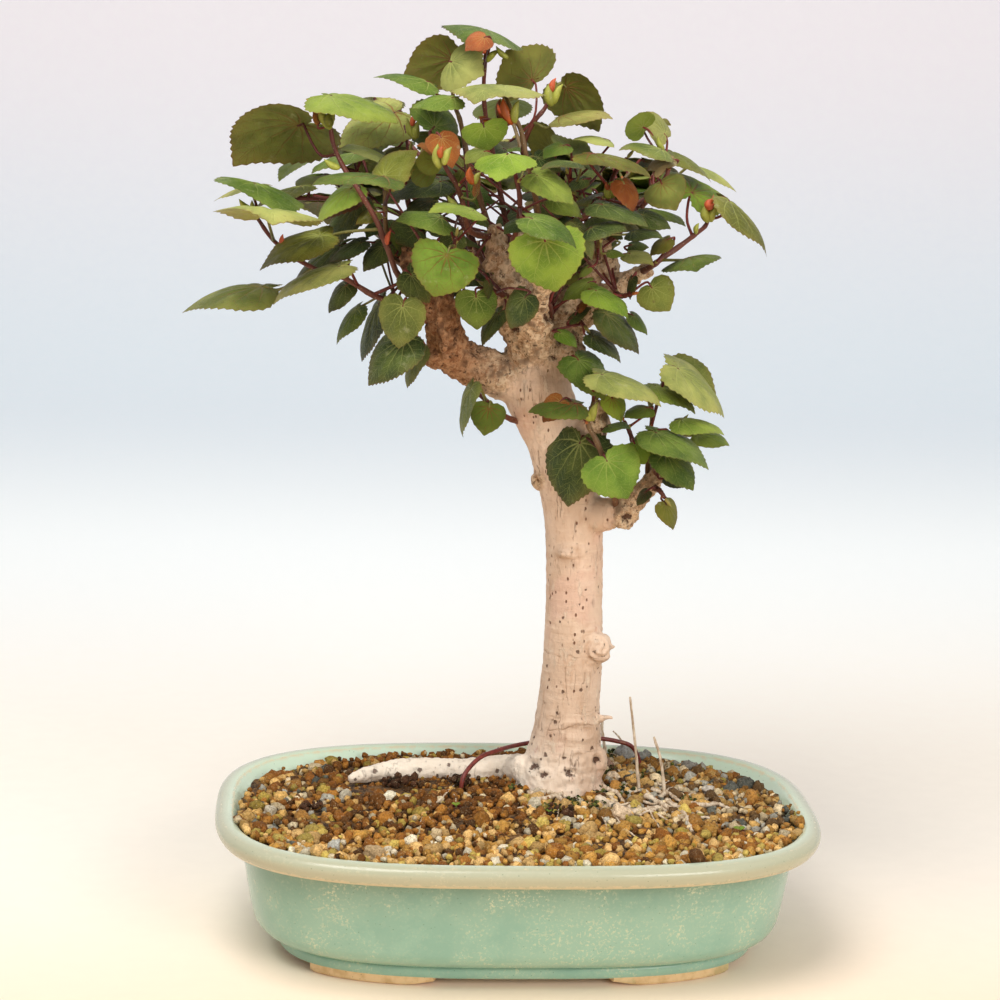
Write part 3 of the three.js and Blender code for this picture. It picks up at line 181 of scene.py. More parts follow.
class Path:
    """A centripetal Catmull-Rom curve through points, read from 0 to 1."""

    def __init__(self, points):
        self.points = [np.array(p, float) for p in points]

    def at(self, t):
        pts = self.points
        place = (len(pts) - 1) * t
        k = min(int(place), len(pts) - 2)
        w = place - k
        p1, p2 = pts[k], pts[k + 1]
        p0 = pts[k - 1] if k > 0 else 2 * p1 - p2
        p3 = pts[k + 2] if k + 2 < len(pts) else 2 * p2 - p1
        d0, d1, d2 = (max(np.linalg.norm(b - a), 1e-6) ** 0.5 for a, b in ((p0, p1), (p1, p2), (p2, p3)))
        m1 = ((p1 - p0) / d0 - (p2 - p0) / (d0 + d1) + (p2 - p1) / d1) * d1
        m2 = ((p2 - p1) / d1 - (p3 - p1) / (d1 + d2) + (p3 - p2) / d2) * d1
        cubic = 2 * p1 - 2 * p2 + m1 + m2
        square = -3 * p1 + 3 * p2 - 2 * m1 - m2
        return p1 + m1 * w + square * w**2 + cubic * w**3

    def sample(self, count):
        return np.array([self.at(i / count) for i in range(count + 1)])

    def length(self):
        return float(np.linalg.norm(np.diff(self.sample(60), axis=0), axis=1).sum())


def along_rows(column, count):
    """The values of a column of a table, read at evenly spread places."""
    return np.interp(np.linspace(0, len(column) - 1, count), range(len(column)), column)


# Pieces
class Piece:
    """The points, faces, drawn coordinates and colours of one mesh."""

    def __init__(self, name, layers=()):
        self.name = name
        self.points, self.faces, self.materials, self.drawn = [], [], [], []
        self.colours = {layer: [] for layer in layers}
        self.count = 0

    def add(self, points, faces, material=0, drawn=None, **colours):
        points = np.asarray(points, float)
        self.points.append(points)
        self.faces.extend([tuple(self.count + int(k) for k in face) for face in faces])
        self.materials.extend([material] * len(faces))
        self.drawn.append(np.zeros((len(points), 2)) if drawn is None else np.asarray(drawn, float))
        for layer, made in self.colours.items():
            colour = np.asarray(colours.get(layer, (0.0, 0.0, 0.0)), float)
            made.append(np.broadcast_to(colour, (len(points), 3)))
        self.count += len(points)

    def build(self, materials, smooth=True):
        mesh = bpy.data.meshes.new(self.name)
        mesh.from_pydata((np.concatenate(self.points) * MM).tolist(), [], self.faces)
        corners = np.empty(len(mesh.loops), np.int32)
        mesh.loops.foreach_get("vertex_index", corners)
        layer = mesh.uv_layers.new(name="Drawn")
        layer.data.foreach_set("uv", np.concatenate(self.drawn)[corners].ravel())
        for name, colours in self.colours.items():
            paint_points(mesh, name, np.concatenate(colours))
        mesh.polygons.foreach_set("material_index", self.materials)
        return place_mesh(mesh, materials, smooth)


def paint_points(mesh, name, colours):
    layer = mesh.color_attributes.new(name, "FLOAT_COLOR", "POINT")
    layer.data.foreach_set("color", np.hstack([colours, np.ones((len(colours), 1))]).ravel())


def place_mesh(mesh, materials, smooth=True):
    """A new object of the scene with a mesh."""
    for material in materials:
        mesh.materials.append(material)
    mesh.polygons.foreach_set("use_smooth", [smooth] * len(mesh.polygons))
    mesh.update()
    return add_to_scene(mesh.name, mesh)


def add_to_scene(name, data):
    made = bpy.data.objects.new(name, data)
    bpy.context.scene.collection.objects.link(made)
    return made


def finish_piece(piece, slot, *nodes):
    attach(piece, "root")
    if nodes:
        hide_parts(*nodes)


def ring_faces(rings, count, first=0):
    """Faces between rings of count points each, the points in the order of the rings."""
    faces = []
    for r in range(rings - 1):
        for k in range(count):
            a, b = first + r * count + k, first + r * count + (k + 1) % count
            faces.append((a, b, b + count, a + count))
    return faces


def closed_rings(rings, count):
    """The faces between rings, with a face over the first ring and the last."""
    ends = [tuple(range(count))[::-1], tuple(range((rings - 1) * count, rings * count))]
    return ring_faces(rings, count) + ends


def tube(points, radii, sides=8):
    """Rings round a line of points, closed at both ends. Returns points and faces."""
    points = np.asarray(points, float)
    count = len(points)
    radii = np.broadcast_to(np.asarray(radii, float), (count,))
    side = unit(np.array([1.0, 0.2, 0.1]))
    angles = np.arange(sides) / sides * FULL_TURN
    rings = []
    for centre, along, radius in zip(points, np.gradient(points, axis=0), radii):
        along = unit(along)
        side = unit(side - along * side.dot(along))
        across = np.cross(along, side)
        rings.append(centre + radius * (np.outer(np.cos(angles), side) + np.outer(np.sin(angles), across)))
    faces = ring_faces(count, sides)
    first, last = count * sides, count * sides + 1
    for k in range(sides):
        after = (k + 1) % sides
        faces.append((first, after, k))
        faces.append((last, (count - 1) * sides + k, (count - 1) * sides + after))
    return np.vstack([*rings, points[0], points[-1]]), faces


# Shaders
def rgb(red, green, blue):
    """The linear colour of an sRGB colour given in parts of 255."""
    shares = [c / 255 for c in (red, green, blue)]
    linear = [share / 12.92 if share < 11 / 255 else ((share + 0.055) / 1.055) ** 2.4 for share in shares]
    return np.array(linear)


class Value:
    """What a shader node gives, for use in sums and mixes."""

    def __init__(self, shader, socket):
        self.shader, self.socket = shader, socket

    def __add__(self, other):
        return self.shader.math("ADD", self, other)

    def __sub__(self, other):
        return self.shader.math("SUBTRACT", self, other)

    def __mul__(self, other):
        return self.shader.math("MULTIPLY", self, other)

    def __truediv__(self, other):
        return self.shader.math("DIVIDE", self, other)

    def __abs__(self):
        return self.shader.math("ABSOLUTE", self)

    def most(self, other):
        return self.shader.math("MAXIMUM", self, other)

    def clamped(self, share):
        """The value times a share, kept between 0 and 1."""
        return self.shader.math("MULTIPLY", self, share, use_clamp=True)

    def ramp(self, low, high, to_low=0.0, to_high=1.0):
        """A smooth step from to_low, where the value is low, to to_high."""
        inputs = dict(enumerate((self, low, high, to_low, to_high)))
        return self.shader.give("ShaderNodeMapRange", inputs, interpolation_type="SMOOTHSTEP")

    def mix(self, share, colour):
        """This colour with a share of another over it."""
        return self.shader.mix(share, self, colour)

    def times(self, colour):
        return self.shader.mix(1.0, self, colour, "MULTIPLY")


class Shader:
    """A material whose nodes are made by short calls."""

    def __init__(self, name):
        self.material = bpy.data.materials.new(name)
        self.material.use_nodes = True
        self.tree = self.material.node_tree

    def feed(self, socket, value):
        if isinstance(value, Value):
            self.tree.links.new(value.socket, socket)
        elif hasattr(value, "__len__") and len(value) == 3 and len(socket.default_value) == 4:
            socket.default_value = (*value, 1.0)
        else:
            socket.default_value = value

    def node(self, kind, inputs, **settings):
        made = self.tree.nodes.new(kind)
        for key, value in settings.items():
            setattr(made, key, value)
        for key, value in inputs.items():
            self.feed(made.inputs[key], value)
        return made

    def give(self, kind, inputs, output=0, **settings):
        """One output of a new node, from its inputs by number or name."""
        return Value(self, self.node(kind, inputs, **settings).outputs[output])

    def math(self, operation, *values, use_clamp=False):
        return self.give("ShaderNodeMath", dict(enumerate(values)), operation=operation, use_clamp=use_clamp)

    def mix(self, share, first, second, blend="MIX"):
        inputs = {0: share, 6: first, 7: second}
        return self.give("ShaderNodeMix", inputs, 2, data_type="RGBA", blend_type=blend)

    def place(self):
        """The object's own coordinates."""
        return self.give("ShaderNodeTexCoord", {}, "Object")

    def waves(self, scale, stretch, coordinates):
        """Coordinates with scale in waves per metre, the object's own where none are given."""
        inputs = {0: coordinates or self.place(), "Scale": [s * scale for s in stretch]}
        return self.give("ShaderNodeMapping", inputs)

    def noise(self, scale, detail=4.0, rough=0.55, stretch=(1, 1, 1), coordinates=None):
        vector = self.waves(scale, stretch, coordinates)
        inputs = {"Vector": vector, "Detail": detail, "Roughness": rough, "Scale": 1.0}
        return self.give("ShaderNodeTexNoise", inputs)

    def cells(self, scale, stretch=(1, 1, 1), coordinates=None, feature="F1"):
        vector = self.waves(scale, stretch, coordinates)
        return self.give("ShaderNodeTexVoronoi", {"Vector": vector, "Scale": 1.0}, feature=feature)

    def attribute(self, name):
        return self.give("ShaderNodeAttribute", {}, "Color", attribute_name=name)

    def parts(self, value):
        """The three coordinates of a place."""
        return [Value(self, output) for output in self.node("ShaderNodeSeparateXYZ", {0: value}).outputs]

    def channels(self, value):
        """The three channels of a colour."""
        return [Value(self, output) for output in self.node("ShaderNodeSeparateColor", {0: value}).outputs]

    def coats(self, colour, rows):
        """A colour under coats, each with its noise, the ramp that gives its share, and its colour."""
        for pattern, span, paint in rows:
            colour = colour.mix(self.noise(*pattern).ramp(*span), rgb(*paint))
        return colour

    def bump(self, height, distance, strength=1.0):
        inputs = {"Strength": strength, "Distance": distance, "Height": height}
        return self.give("ShaderNodeBump", inputs)

    def finish(self, **inputs):
        for key, value in inputs.items():
            self.feed(self.tree.nodes["Principled BSDF"].inputs[key.replace("_", " ")], value)
        return self.material


# Camera, light and stage
CLIP_NEAR, CLIP_FAR = 0.1, 20.0
WORLD_COLOUR = (0.97, 0.97, 1.0, 1.0)
WORLD_STRENGTH = 0.46
LAMP_SIZE = 0.7
# Lamps: name, place and aim in metres, power and colour
LAMPS = [
    ("overhead", (-0.35, -0.45, 1.2), (0, 0, 0.2), 11.5, (1.0, 0.985, 0.95)),
    ("front", (0.7, -1.3, 0.7), (0, 0, 0.15), 11.0, (1.0, 0.97, 0.93)),
]
FLOOR_REACH = 3.2
FLOOR_FRONT = -3.0
FLOOR_BACK = 1.35
BACKDROP_BEND = 0.5
BEND_STEPS = 12
BACKDROP_HEIGHT = 2.2
BACKDROP_GLOW = 0.28
# Rise over run, seen from the front, between which the floor's peach turns cream, the floor turns into
# the backdrop, and the backdrop's haze turns pale blue and then pale pink
CREAM_SLOPES = (-0.45, -0.33)
BACKDROP_SLOPES = (-0.314, -0.208)
BLUE_SLOPES = (-0.22, -0.154)
PINK_SLOPES = (-0.154, 0.0)
PEACH, CREAM = rgb(255, 226, 196), rgb(255, 247, 234)
HAZE, PALE_BLUE, PALE_PINK = rgb(240, 244, 243), rgb(220, 229, 234), rgb(234, 228, 230)


def make_camera():
    camera = add_to_scene("camera", bpy.data.cameras.new("camera"))
    camera.data.sensor_width = SENSOR
    camera.data.lens = EYE_FOCAL / SHEET * SENSOR
    camera.data.clip_start = CLIP_NEAR
    camera.data.clip_end = CLIP_FAR
    pitch = Matrix.Rotation(math.pi / 2 - EYE_PITCH, 4, "X")
    roll = Matrix.Rotation(EYE_ROLL, 4, "Z")
    turn = Matrix.Rotation(-POT_TURN, 4, "Z")
    camera.matrix_world = Matrix.Translation(EYE * MM) @ turn @ pitch @ roll
    bpy.context.scene.camera = camera


def make_lights():
    world = bpy.data.worlds.new("studio")
    bpy.context.scene.world = world
    world.use_nodes = True
    background = world.node_tree.nodes["Background"]
    background.inputs["Color"].default_value = WORLD_COLOUR
    background.inputs["Strength"].default_value = WORLD_STRENGTH
    for name, place, aim, power, colour in LAMPS:
        lamp = bpy.data.lights.new(name, "AREA")
        lamp.shape = "RECTANGLE"
        lamp.size = lamp.size_y = LAMP_SIZE
        lamp.energy = power
        lamp.color = colour
        made = add_to_scene(name, lamp)
        made.location = place
        made.rotation_euler = (Vector(aim) - Vector(place)).to_track_quat("-Z", "Y").to_euler()


def paper_material():
    """Studio paper, peach and cream in front and pale blue and pink behind."""
    m = Shader("studio_paper")
    x, y, z = m.parts(m.place())
    run = (y + EYE_DISTANCE * MM).most(0.1)
    slope = (z - EYE_HEIGHT * MM) / run
    backdrop = m.mix(slope.ramp(*BLUE_SLOPES), HAZE, PALE_BLUE).mix(slope.ramp(*PINK_SLOPES), PALE_PINK)
    back = slope.ramp(*BACKDROP_SLOPES)
    floor = m.mix(slope.ramp(*CREAM_SLOPES), PEACH, CREAM)
    grain = m.noise(90, 4, 0.6).ramp(0.3, 0.7, 0.985, 1.0)
    colour = floor.mix(back, backdrop).times(grain)
    glow = back * BACKDROP_GLOW
    return m.finish(Base_Color=colour, Roughness=0.9, Emission_Color=colour, Emission_Strength=glow)


def make_stage():
    """A floor that bends up into a backdrop."""
    profile = [(FLOOR_FRONT, 0.0), (FLOOR_BACK, 0.0)]
    for angle in np.arange(1, BEND_STEPS + 1) / BEND_STEPS * math.pi / 2:
        profile.append((FLOOR_BACK + BACKDROP_BEND * math.sin(angle), BACKDROP_BEND * (1 - math.cos(angle))))
    profile.append((FLOOR_BACK + BACKDROP_BEND, BACKDROP_HEIGHT))
    points = [(x, y, z) for y, z in profile for x in (-FLOOR_REACH, FLOOR_REACH)]
    faces = [(2 * k, 2 * k + 1, 2 * k + 3, 2 * k + 2) for k in range(len(profile) - 1)]
    mesh = bpy.data.meshes.new("studio_floor")
    mesh.from_pydata(points, [], faces)
    place_mesh(mesh, [paper_material()])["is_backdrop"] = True


# Pot: half length, height, how far the glaze wears through to buff, and how pale it is painted, a painted
# highlight along the lip, from base to floor
POT_PROFILE = [
    (94, FOOT_HEIGHT - 0.6, 1.0, 0), (101.6, FOOT_HEIGHT - 0.6, 1.0, 0),
    (102.8, FOOT_HEIGHT - 0.3, 0.6, 0), (103.3, 4.7, 0.2, 0), (103.6, 6.2, 0.0, 0), (103.3, 7.9, 0.05, 0),
    (102.7, 8.6, 0.15, 0), (103.9, 9.1, 0.0, 0), (107.4, 10.3, 0.0, 0), (111.0, 12.8, 0.0, 0),
    (113.2, 16, 0.0, 0), (114.4, 20, 0.0, 0), (115.7, 27, 0.0, 0), (116.8, 34, 0.0, 0),
    (118.1, 43, 0.0, 0), (119.1, 48.9, 0.0, 0.0), (119.8, 50.3, 0.0, 0.1), (121.8, 50.7, 0.1, 0.3),
    (125.0, 50.8, 0.5, 0.5), (127.3, 51.5, 0.9, 0.5), (129.0, 53.4, 0.45, 0.5), (129.9, 55.9, 0.1, 0.45),
    (129.8, 57.6, 0.05, 0.4), (128.9, 59.0, 0.2, 0.45), (127.4, 59.9, 0.5, 0.6), (125.6, 60.3, 0.15, 0.7),
    (123.9, 60.2, 0.3, 0.8), (122.6, 59.5, 0.7, 0.9), (121.6, 58.3, 0.4, 1), (120.4, 56.4, 0.1, 1),
    (118.4, 53.6, 0.0, 1), (115.6, 48, 0.0, 1), (111.8, 30, 0.0, 1), (107.6, 18, 0.0, 1),
    (98, FLOOR_TOP, 0.0, 1), (60, FLOOR_TOP, 0.0, 1),
]
PLAN_COUNT = 192
ROWS_BETWEEN = 3
FOOT_STEPS = 18
FOOT_ROUND = 1.1
# Shares of a foot's length within which it starts, and from which it rises to its end
FOOT_START = 0.06
FOOT_END = 0.86
DRAIN_SIDES = 48
# Heights between which the body is painted darker up to the lip, a painted shade under the lip
LIP_SHADE_HEIGHTS = (32, 50)


def on_plan(half_length, half_depth, angle):
    """A place on the pot's plan, whose corners are squarer than an ellipse."""
    c, s = np.cos(angle), np.sin(angle)
    power = 2 / PLAN_EXPONENT
    return half_length * np.sign(c) * np.abs(c) ** power, half_depth * np.sign(s) * np.abs(s) ** power


def make_pot_shell(piece):
    lengths, heights, wear, pale = zip(*POT_PROFILE)
    profile = Path([(length, length - SHORTER_BY, z) for length, z in zip(lengths, heights)])
    count = (len(POT_PROFILE) - 1) * ROWS_BETWEEN + 1
    angles = (np.arange(PLAN_COUNT) + 0.5) / PLAN_COUNT * FULL_TURN
    rings = []
    for length, depth, z in profile.sample(count - 1):
        rings.append(np.column_stack([*on_plan(length, depth, angles), np.full(PLAN_COUNT, z)]) + POT_MIDDLE)
    looks = np.column_stack([along_rows(wear, count), np.zeros(count), along_rows(pale, count)])
    piece.add(np.vstack(rings), closed_rings(count, PLAN_COUNT), wear=np.repeat(looks, PLAN_COUNT, axis=0))


def foot_section(outer, inner, bottom, top):
    """The foot's cross-section between its outer and inner plan points, with rounded lower edges."""
    across = inner - outer
    share = FOOT_ROUND / np.linalg.norm(across)
    half = [(0, top), (0, bottom + FOOT_ROUND), (share * 0.3, bottom + 0.3), (share, bottom)]
    return [(*(outer + across * place), z) for place, z in half + [(1 - place, z) for place, z in half[::-1]]]


def make_foot(piece, flip_x, flip_y):
    half = FOOT_RING_LENGTH / 2
    start, end = (math.acos((x / half) ** (PLAN_EXPONENT / 2)) for x in (FOOT_OUTER_X, FOOT_INNER_X))
    rings = []
    for share in np.arange(FOOT_STEPS + 1) / FOOT_STEPS:
        angle = start + (end - start) * share
        outer, inner = (
            np.array(on_plan(length, length - SHORTER_BY, angle)) for length in (half, half - FOOT_THICKNESS)
        )
        bottom = max(0, share - FOOT_END) / (1 - FOOT_END) * FOOT_HEIGHT / 2 + max(0, FOOT_START - share) * 12
        rings.append(foot_section(outer, inner, bottom, FOOT_HEIGHT + 1))
    points = np.array(rings)
    faces = closed_rings(len(rings), points.shape[1])
    if flip_x * flip_y > 0:
        faces = [face[::-1] for face in faces]
    piece.add(points.reshape(-1, 3) * (flip_x, flip_y, 1) + POT_MIDDLE, faces, wear=(1.0, 1.0, 0.0))


def cut_drains(pot):
    for side in (-1, 1):
        bpy.ops.mesh.primitive_cylinder_add(
            vertices=DRAIN_SIDES, radius=DRAIN_RADIUS * MM, depth=FLOOR_TOP * 3 * MM
        )
        cutter = bpy.context.object
        middle = POT_MIDDLE * MM + np.array([side * DRAIN_SPREAD * MM, 0, 0])
        cutter.data.transform(Matrix.Translation(middle))
        cut = pot.modifiers.new("drain", "BOOLEAN")
        cut.object = cutter
        cut.operation = "DIFFERENCE"
        cut.solver = "EXACT"
        apply_modifiers(pot)
        bpy.data.objects.remove(cutter)


def apply_modifiers(piece):
    graph = bpy.context.evaluated_depsgraph_get()
    made = bpy.data.meshes.new_from_object(piece.evaluated_get(graph))
    piece.modifiers.clear()
    piece.data = made


def glaze_material():
    """Celadon to turquoise glaze, thin and buff at its edges and at the foot, with pale specks, painted shade
    under the lip and a painted highlight along the lip.
    """
    m = Shader("celadon_glaze")
    # The wear layer holds the glaze's wear, the clay share, and in its third channel the painted highlight
    # along the lip.
    wear, clay_share, pale = m.channels(m.attribute("wear"))
    broad, clouds = m.noise(22, 3), m.noise(75, 5, 0.6)
    colour = m.mix(broad.ramp(0.38, 0.62), rgb(137, 177, 158), rgb(152, 187, 166))
    colour = colour.mix(clouds.ramp(0.46, 0.66, 0, 0.3), rgb(160, 197, 175))
    # Painted shade under the lip: the body is painted darker towards it.
    painted_lip_shade = m.parts(m.place())[2].ramp(*(height * MM for height in LIP_SHADE_HEIGHTS))
    colour = colour.mix(painted_lip_shade * 0.8, colour.times(rgb(212, 212, 212)))
    frost = m.noise(700, 4, 0.7).ramp(0.52, 0.62) * broad.ramp(0.42, 0.58, 0.15, 1.0)
    frost = frost * clouds.ramp(0.4, 0.6, 0.2, 1.0)
    colour = colour.mix(frost * 0.75, rgb(206, 210, 176))
    # Painted highlight along the lip: the lip and the inside are painted paler.
    colour = colour.mix(pale.ramp(0.0, 0.5, 0, 0.85), rgb(188, 184, 156))
    colour = colour.mix(pale.ramp(0.5, 1.0), rgb(208, 228, 204))
    colour = colour.mix(m.cells(340).ramp(0.05, 0.11, 0.5, 0.0), rgb(80, 110, 92))
    bare = (wear + (m.noise(260, 4, 0.7) - 0.5) * 1.0).ramp(0.42, 0.8)
    colour = colour.mix(bare * 0.7, rgb(214, 194, 156))
    clay = m.mix(m.noise(160, 4).ramp(0.4, 0.66), rgb(226, 194, 146), rgb(204, 168, 118))
    clay = clay.mix(m.noise(60, 4).ramp(0.52, 0.68, 0, 0.45), rgb(150, 158, 112))
    clay = clay.mix(m.cells(500).ramp(0.06, 0.16, 0.6, 0.0), rgb(120, 90, 60))
    return m.finish(
        Base_Color=colour.mix(clay_share, clay),
        Roughness=bare.ramp(0, 1, 0.2, 0.45).most(clay_share * 0.75),
        Normal=m.bump(m.noise(260, 3) + frost * 0.6, 0.0004, 0.3),
        IOR=1.45,
        Coat_Weight=0.15,
        Coat_Roughness=0.15,
    )


def make_pot():
    glaze = glaze_material()
    shell = Piece("glazed_pot", ["wear"])
    make_pot_shell(shell)
    pot = shell.build([glaze])
    cut_drains(pot)
    finish_piece(pot, "pot_glaze", "pot")
    feet = Piece("pot_feet", ["wear"])
    for flip_x in (1, -1):
        for flip_y in (1, -1):
            make_foot(feet, flip_x, flip_y)
    finish_piece(feet.build([glaze], smooth=False), "pot_glaze")


# Wood: the trunk as left edge, right edge and height on the sheet
TRUNK_DEPTH = 21.0
TRUNK_EDGES = [
    (507, 608, 826), (510, 607, 800), (516, 605, 778), (525, 603, 755), (532, 602, 730), (537, 601, 700),
    (542, 603, 655), (545, 603, 605), (545, 604, 562), (544, 604, 532), (541, 601, 501), (533, 594, 463),
    (525, 588, 436), (513, 579, 412), (503, 572, 390), (503, 568, 362), (512, 568, 335),
]
# Limbs: places on the sheet, depth, and radius in millimetres
LIMBS = {
    "left": [
        (530, 386, 21, 11), (488, 371, 17, 9.6), (458, 358, 13, 8.8), (446, 340, 10, 8.2),
        (442, 314, 8, 8), (428, 287, 5, 6.4), (411, 266, 3, 4.2), (407, 246, 3, 2.8),
    ],
    "centre": [
        (538, 372, 19, 11), (528, 335, 16, 10.6), (516, 300, 13, 10), (506, 272, 10, 7.6),
        (497, 246, 9, 5), (493, 225, 9, 2.6),
    ],
    "centre_stub": [(508, 275, 9, 6), (518, 248, 5, 4), (523, 232, 3, 2.6)],
    "right": [
        (550, 362, 21, 10), (562, 322, 22, 8.2), (577, 290, 22, 7), (597, 262, 23, 5.2),
        (607, 240, 23, 2.8),
    ],
    "far_right": [
        (556, 345, 22, 8), (586, 308, 21, 6.4), (612, 292, 19, 5), (632, 277, 17, 4), (651, 269, 16, 2.6),
    ],
    "back_left": [(536, 350, 28, 9), (510, 305, 50, 6.8), (484, 272, 68, 4.8), (474, 244, 78, 2.8)],
    "back_right": [(548, 345, 28, 9), (560, 302, 52, 6.8), (580, 268, 70, 4.8), (592, 244, 80, 2.8)],
    "front": [(540, 352, 14, 9), (534, 315, -4, 6.2), (540, 286, -20, 4.4), (545, 264, -27, 2.8)],
    "lower_right": [
        (578, 514, 20, 9.5), (606, 514, 13, 7.4), (628, 504, 9, 6), (646, 488, 6, 4.6),
        (659, 474, 4, 3.8), (670, 459, 3, 2.4),
    ],
    "dead_cone": [(580, 440, 16, 8), (597, 424, 5, 5.6), (600, 401, 2, 2.2)],
    "thorn": [(599, 719, 15, 2.2), (606, 717, 14, 1.4), (614, 718, 13, 1.0)],
    "bark_peel": [(437, 296, -1, 1.4), (440, 320, -2, 1.6), (444, 350, -1, 1.3)],
}
# Swellings: place on the sheet, depth, radius and how tall for their width
KNOBS = [
    (596, 648, 14, 6.2, 1.3), (604, 645, 12, 3.6, 1.5), (603, 655, 12, 3.2, 0.9),
    (613, 647, 13, 1.2, 0.8), (600, 762, 16, 3.6, 2.0), (572, 352, 14, 6.4, 1.2),
    (537, 481, 19, 2.7, 1.4), (622, 513, 10, 6.8, 0.95), (522, 769, 19, 5.6, 1.2),
    (436, 356, 10, 6.5, 0.9), (495, 262, 7, 4.6, 1.1), (566, 552, 9, 3.4, 0.6), (608, 265, 22, 5, 1.2),
]
# The long root over the soil: places on the sheet and radius, and where it leaves the trunk
SURFACE_ROOT = [
    (530, 767, 7.8), (503, 769, 6.6), (475, 771, 5.9), (435, 770, 5.5), (397, 771, 5.3), (370, 774, 4.1),
    (349, 779, 1.8),
]
ROOT_START = (548, 772)
BURIED_ROOTS = [
    [(560, 800, 12, 10), (556, 838, -8, 5), (552, 858, -22, 3)],
    [(570, 800, 26, 10), (600, 822, 46, 5), (625, 834, 60, 3)],
    [(585, 795, 18, 9), (630, 822, 8, 4.5), (655, 842, 0, 2.6)],
]
# Marks on the front of the wood: place on the sheet, half width, half height, raised rim and pit in mm
SCARS = [
    (570, 551, 13, 5.5, 0.8, 0.3), (538, 482, 4, 6, 0.7, 0.7), (513, 330, 8, 6, 0.8, 2.2),
    (548, 318, 6, 7, 0.8, 1.6), (560, 340, 6, 6, 0.7, 1.2), (553, 358, 7, 4, 0.6, 1.0),
    (499, 236, 7, 9, 0.8, 0.5), (487, 262, 9, 9, 1.0, 0.6), (606, 432, 7, 8, 0.7, 0.9),
    (452, 352, 9, 6, 0.8, 0.9), (587, 480, 5, 4, 0.5, 0.6), (534, 766, 8, 8, 0.5, 1.3),
    (543, 775, 8, 5, 0.3, 1.1), (569, 773, 9, 6, 0.5, 1.2), (578, 757, 8, 6, 0.7, 0.15),
    (577, 731, 17, 9, 0.8, 0.1), (597, 760, 6, 8, 0.8, 1.0), (628, 518, 8, 7, 0.9, 1.2),
    (614, 280, 6, 6, 0.7, 0.8),
]
# Small dark pits on the trunk and the long root: place on the sheet and radius in millimetres
SMALL_PITS = [
    (545, 755, 1.1), (564, 758, 0.9), (555, 722, 1.1), (557, 713, 0.8), (550, 736, 0.9), (534, 737, 0.7),
    (532, 744, 0.7), (547, 666, 0.8), (563, 618, 0.8), (560, 622, 0.5), (581, 690, 0.8), (563, 692, 0.8),
    (578, 652, 0.9), (583, 740, 0.7), (592, 748, 1.0), (497, 771, 1.1), (541, 759, 0.6), (449, 765, 1.0),
    (420, 770, 1.2), (375, 771, 1.4), (355, 780, 1.0), (437, 776, 0.9), (598, 668, 0.7), (550, 575, 0.6),
    (586, 590, 0.6),
]
# Lines round the trunk where its growth paused: place on the sheet and how dark each is
RING_LINES = [(498, 0.2), (590, 0.15), (653, 0.45), (708, 0.3), (720, 0.5), (744, 0.3)]
# Spots of special bark: place on the sheet, half width and half height
BURL = (599, 648, 14, 18)
KNOT = (537, 481, 9, 12)
DEAD_CONE = (598, 412, 13, 22)
BURL_FOLD = 0.75
CROWN_WOOD_FROM = 398.0
# Painted light on the long root and the trunk's left foot: left of this place on the sheet, and up to this
# height in mm over the soil.
ROOT_LIGHT_FROM = 540
ROOT_LIGHT_HEIGHT = 14.0
BARK_VOXEL = 0.82
RELAX_TURNS = 6
# Sides of the tubes that the wood is joined from, and the steps between two rows of their tables
TRUNK_SIDES, LIMB_SIDES, ROOT_SIDES, BURIED_SIDES = 40, 20, 16, 14
LIMB_STEPS = 5


def limb_tube(stations, sides):
    path = Path([point for point, radius in stations])
    steps = (len(stations) - 1) * LIMB_STEPS
    places = np.linspace(0, 1, steps + 1)
    widths = [radius for point, radius in stations]
    radii = np.interp(places * (len(stations) - 1), range(len(stations)), widths)
    return tube([path.at(t) for t in places], radii, sides)


def trunk_stations():
    for left, right, v in TRUNK_EDGES:
        radius = (right - left) / 2 * sheet_scale(TRUNK_DEPTH)
        yield at((left + right) / 2, v, TRUNK_DEPTH), radius


def surface_root_stations():
    yield at(*ROOT_START, TRUNK_DEPTH), SURFACE_ROOT[0][2]
    for u, v, radius in SURFACE_ROOT[1:]:
        yield at_height(u, v, SOIL_EDGE + SOIL_MOUND), radius


def limb_stations(rows):
    return [(at(u, v, depth), radius) for u, v, depth, radius in rows]


def icosphere(level):
    """A ball of radius 1, as points and faces."""
    mesh = bpy.data.meshes.new("ball")
    work = bmesh.new()
    bmesh.ops.create_icosphere(work, subdivisions=level, radius=1.0)
    work.to_mesh(mesh)
    work.free()
    points = np.array([vertex.co[:] for vertex in mesh.vertices])
    faces = [tuple(face.vertices) for face in mesh.polygons]
    bpy.data.meshes.remove(mesh)
    return points, faces


COARSE, MIDDLING, FINE = 1, 2, 3
BALLS = {level: icosphere(level) for level in (COARSE, MIDDLING, FINE)}


def soft_noise(point, scale, seed):
    return noise.noise(Vector(point * scale + seed))


def swelling(u, v, place):
    """How near sheet places lie to a spot: 1 at its middle, falling to 0."""
    middle_u, middle_v, wide, tall = place
    return np.exp(-(((u - middle_u) / wide) ** 2) - ((v - middle_v) / tall) ** 2)


def share_between(value, start, length):
    """0 up to a start, rising to 1 over a length."""
    return np.clip((value - start) / length, 0, 1)


